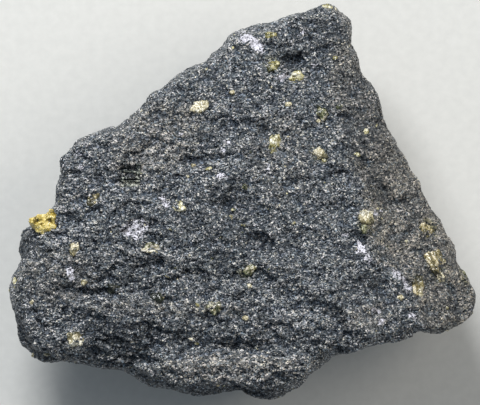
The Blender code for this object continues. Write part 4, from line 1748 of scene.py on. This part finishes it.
@dataclass
class Studio:
    """The pale ground, the soft lights and the camera over the upper face."""

    lens: float = 800.0
    sensor: float = 36.0
    view_width: float = 76.8
    focus_height: float = 15.0
    aim: Pair = (-0.285, -0.11)
    ground: float = 6000.0
    key_power: float = 3.82
    key_size: float = 240.0
    key_from: Pair = (108.0, 42.0)
    key_colour: Triple = (0.97, 0.99, 1.0)
    side_power: float = 0.9
    side_size: float = 300.0
    side_from: Pair = (20.0, 48.0)
    side_colour: Triple = (1.0, 0.92, 0.80)
    sky_level: float = 0.24
    sky_colour: Colour = (0.76, 0.88, 1.0, 1.0)
    light_distance: float = 600.0

    def camera(self) -> None:
        """A long lens straight above, as the stone was photographed."""
        data = bpy.data.cameras.new("camera")
        data.lens = self.lens
        data.sensor_width = self.sensor
        data.clip_start = 0.01
        data.clip_end = 30.0
        view = bpy.data.objects.new("camera", data)
        distance = self.view_width * self.lens / self.sensor
        view.location = Vector((*self.aim, self.focus_height + distance)) * MM
        bpy.context.scene.collection.objects.link(view)
        bpy.context.scene.camera = view

    def light(self, name: str, source: Pair, size: float, power: float, colour: Triple) -> None:
        """Adds a soft square light that faces the stone.

        Args:
            name: The light's name.
            source: Its azimuth and elevation, in degrees.
            size: Its side, in millimetres.
            power: Its power, in watts.
            colour: Its colour.
        """
        azimuth, elevation = (math.radians(angle) for angle in source)
        flat = math.cos(elevation)
        outward = Vector((flat * math.cos(azimuth), flat * math.sin(azimuth), math.sin(elevation)))
        data = bpy.data.lights.new(name, "AREA")
        data.size = size * MM
        data.energy = power
        data.color = colour
        lamp = bpy.data.objects.new(name, data)
        lamp.location = outward * self.light_distance * MM
        lamp.rotation_euler = outward.to_track_quat("Z", "Y").to_euler()
        bpy.context.scene.collection.objects.link(lamp)

    def lights(self) -> None:
        """The key light from the top of the picture, a warm one from the right, and an even cool sky."""
        self.light("key", self.key_from, self.key_size, self.key_power, self.key_colour)
        self.light("side", self.side_from, self.side_size, self.side_power, self.side_colour)
        world = bpy.data.worlds.new("sky")
        world.use_nodes = True
        background = world.node_tree.nodes["Background"]
        background.inputs["Color"].default_value = self.sky_colour
        background.inputs["Strength"].default_value = self.sky_level
        bpy.context.scene.world = world

    def floor(self, finish: FloorFinish) -> None:
        """Lays the pale ground.

        Args:
            finish: Its finish.
        """
        shape = bmesh.new()
        bmesh.ops.create_grid(shape, x_segments=8, y_segments=8, size=self.ground / 2.0)
        bmesh.ops.scale(shape, verts=shape.verts, vec=Vector((MM, MM, MM)))
        mesh = bpy.data.meshes.new("ground")
        shape.to_mesh(mesh)
        shape.free()
        mesh.materials.append(finish.build())
        ground = bpy.data.objects.new("ground", mesh)
        bpy.context.scene.collection.objects.link(ground)

    def build(self, finish: FloorFinish) -> None:
        """Sets up the whole studio.

        Args:
            finish: The ground's finish.
        """
        bpy.context.scene.view_settings.view_transform = "Standard"
        self.camera()
        self.lights()
        self.floor(finish)


def crystal_tints(record: dict) -> dict[str, Tint]:
    """Each crystal node's tint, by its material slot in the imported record."""
    slots = {part["node"]: part["material_slot"] for part in record["subparts"]}
    return {node: Tint(slot) for node, slot in slots.items() if slot != "basalt"}


def main() -> None:
    """Builds the specimen's looks around the frame."""
    logging.basicConfig(level=logging.INFO, format="%(message)s")
    noise.seed_set(STIR_SEED)
    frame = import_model()
    nodes = frame["nodes"]
    tints = crystal_tints(frame["record"])
    finishes = (*TINT_FINISHES.values(), AMBER_FINISH, NODULE_FINISH, STEPPED_FINISH)
    materials = {finish: finish.build() for finish in finishes}
    sockets = RockSurface(taken_from(nodes[STONE_NODE]))
    surface = BasaltBlock(nodes[STONE_NODE]).build([nodes[name] for name in tints], BasaltFinish())
    for name, tint in tints.items():
        material = materials[OWN_FINISHES.get(name, TINT_FINISHES[tint])]
        if name == NODULE_NODE:
            Nodule(nodes[name]).build(material)
        elif name == STEPPED_NODE:
            SteppedCrystal(nodes[name]).build(material)
        else:
            middle = sum(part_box(name), Vector()) / (2.0 * MM)
            OlivineCrystal(nodes[name], tint, sockets.open_side(middle)).build(material)
    SmallCrystals(surface).build({tint: materials[finish] for tint, finish in TINT_FINISHES.items()})
    Studio().build(FloorFinish())


if __name__ == "__main__":
    main()
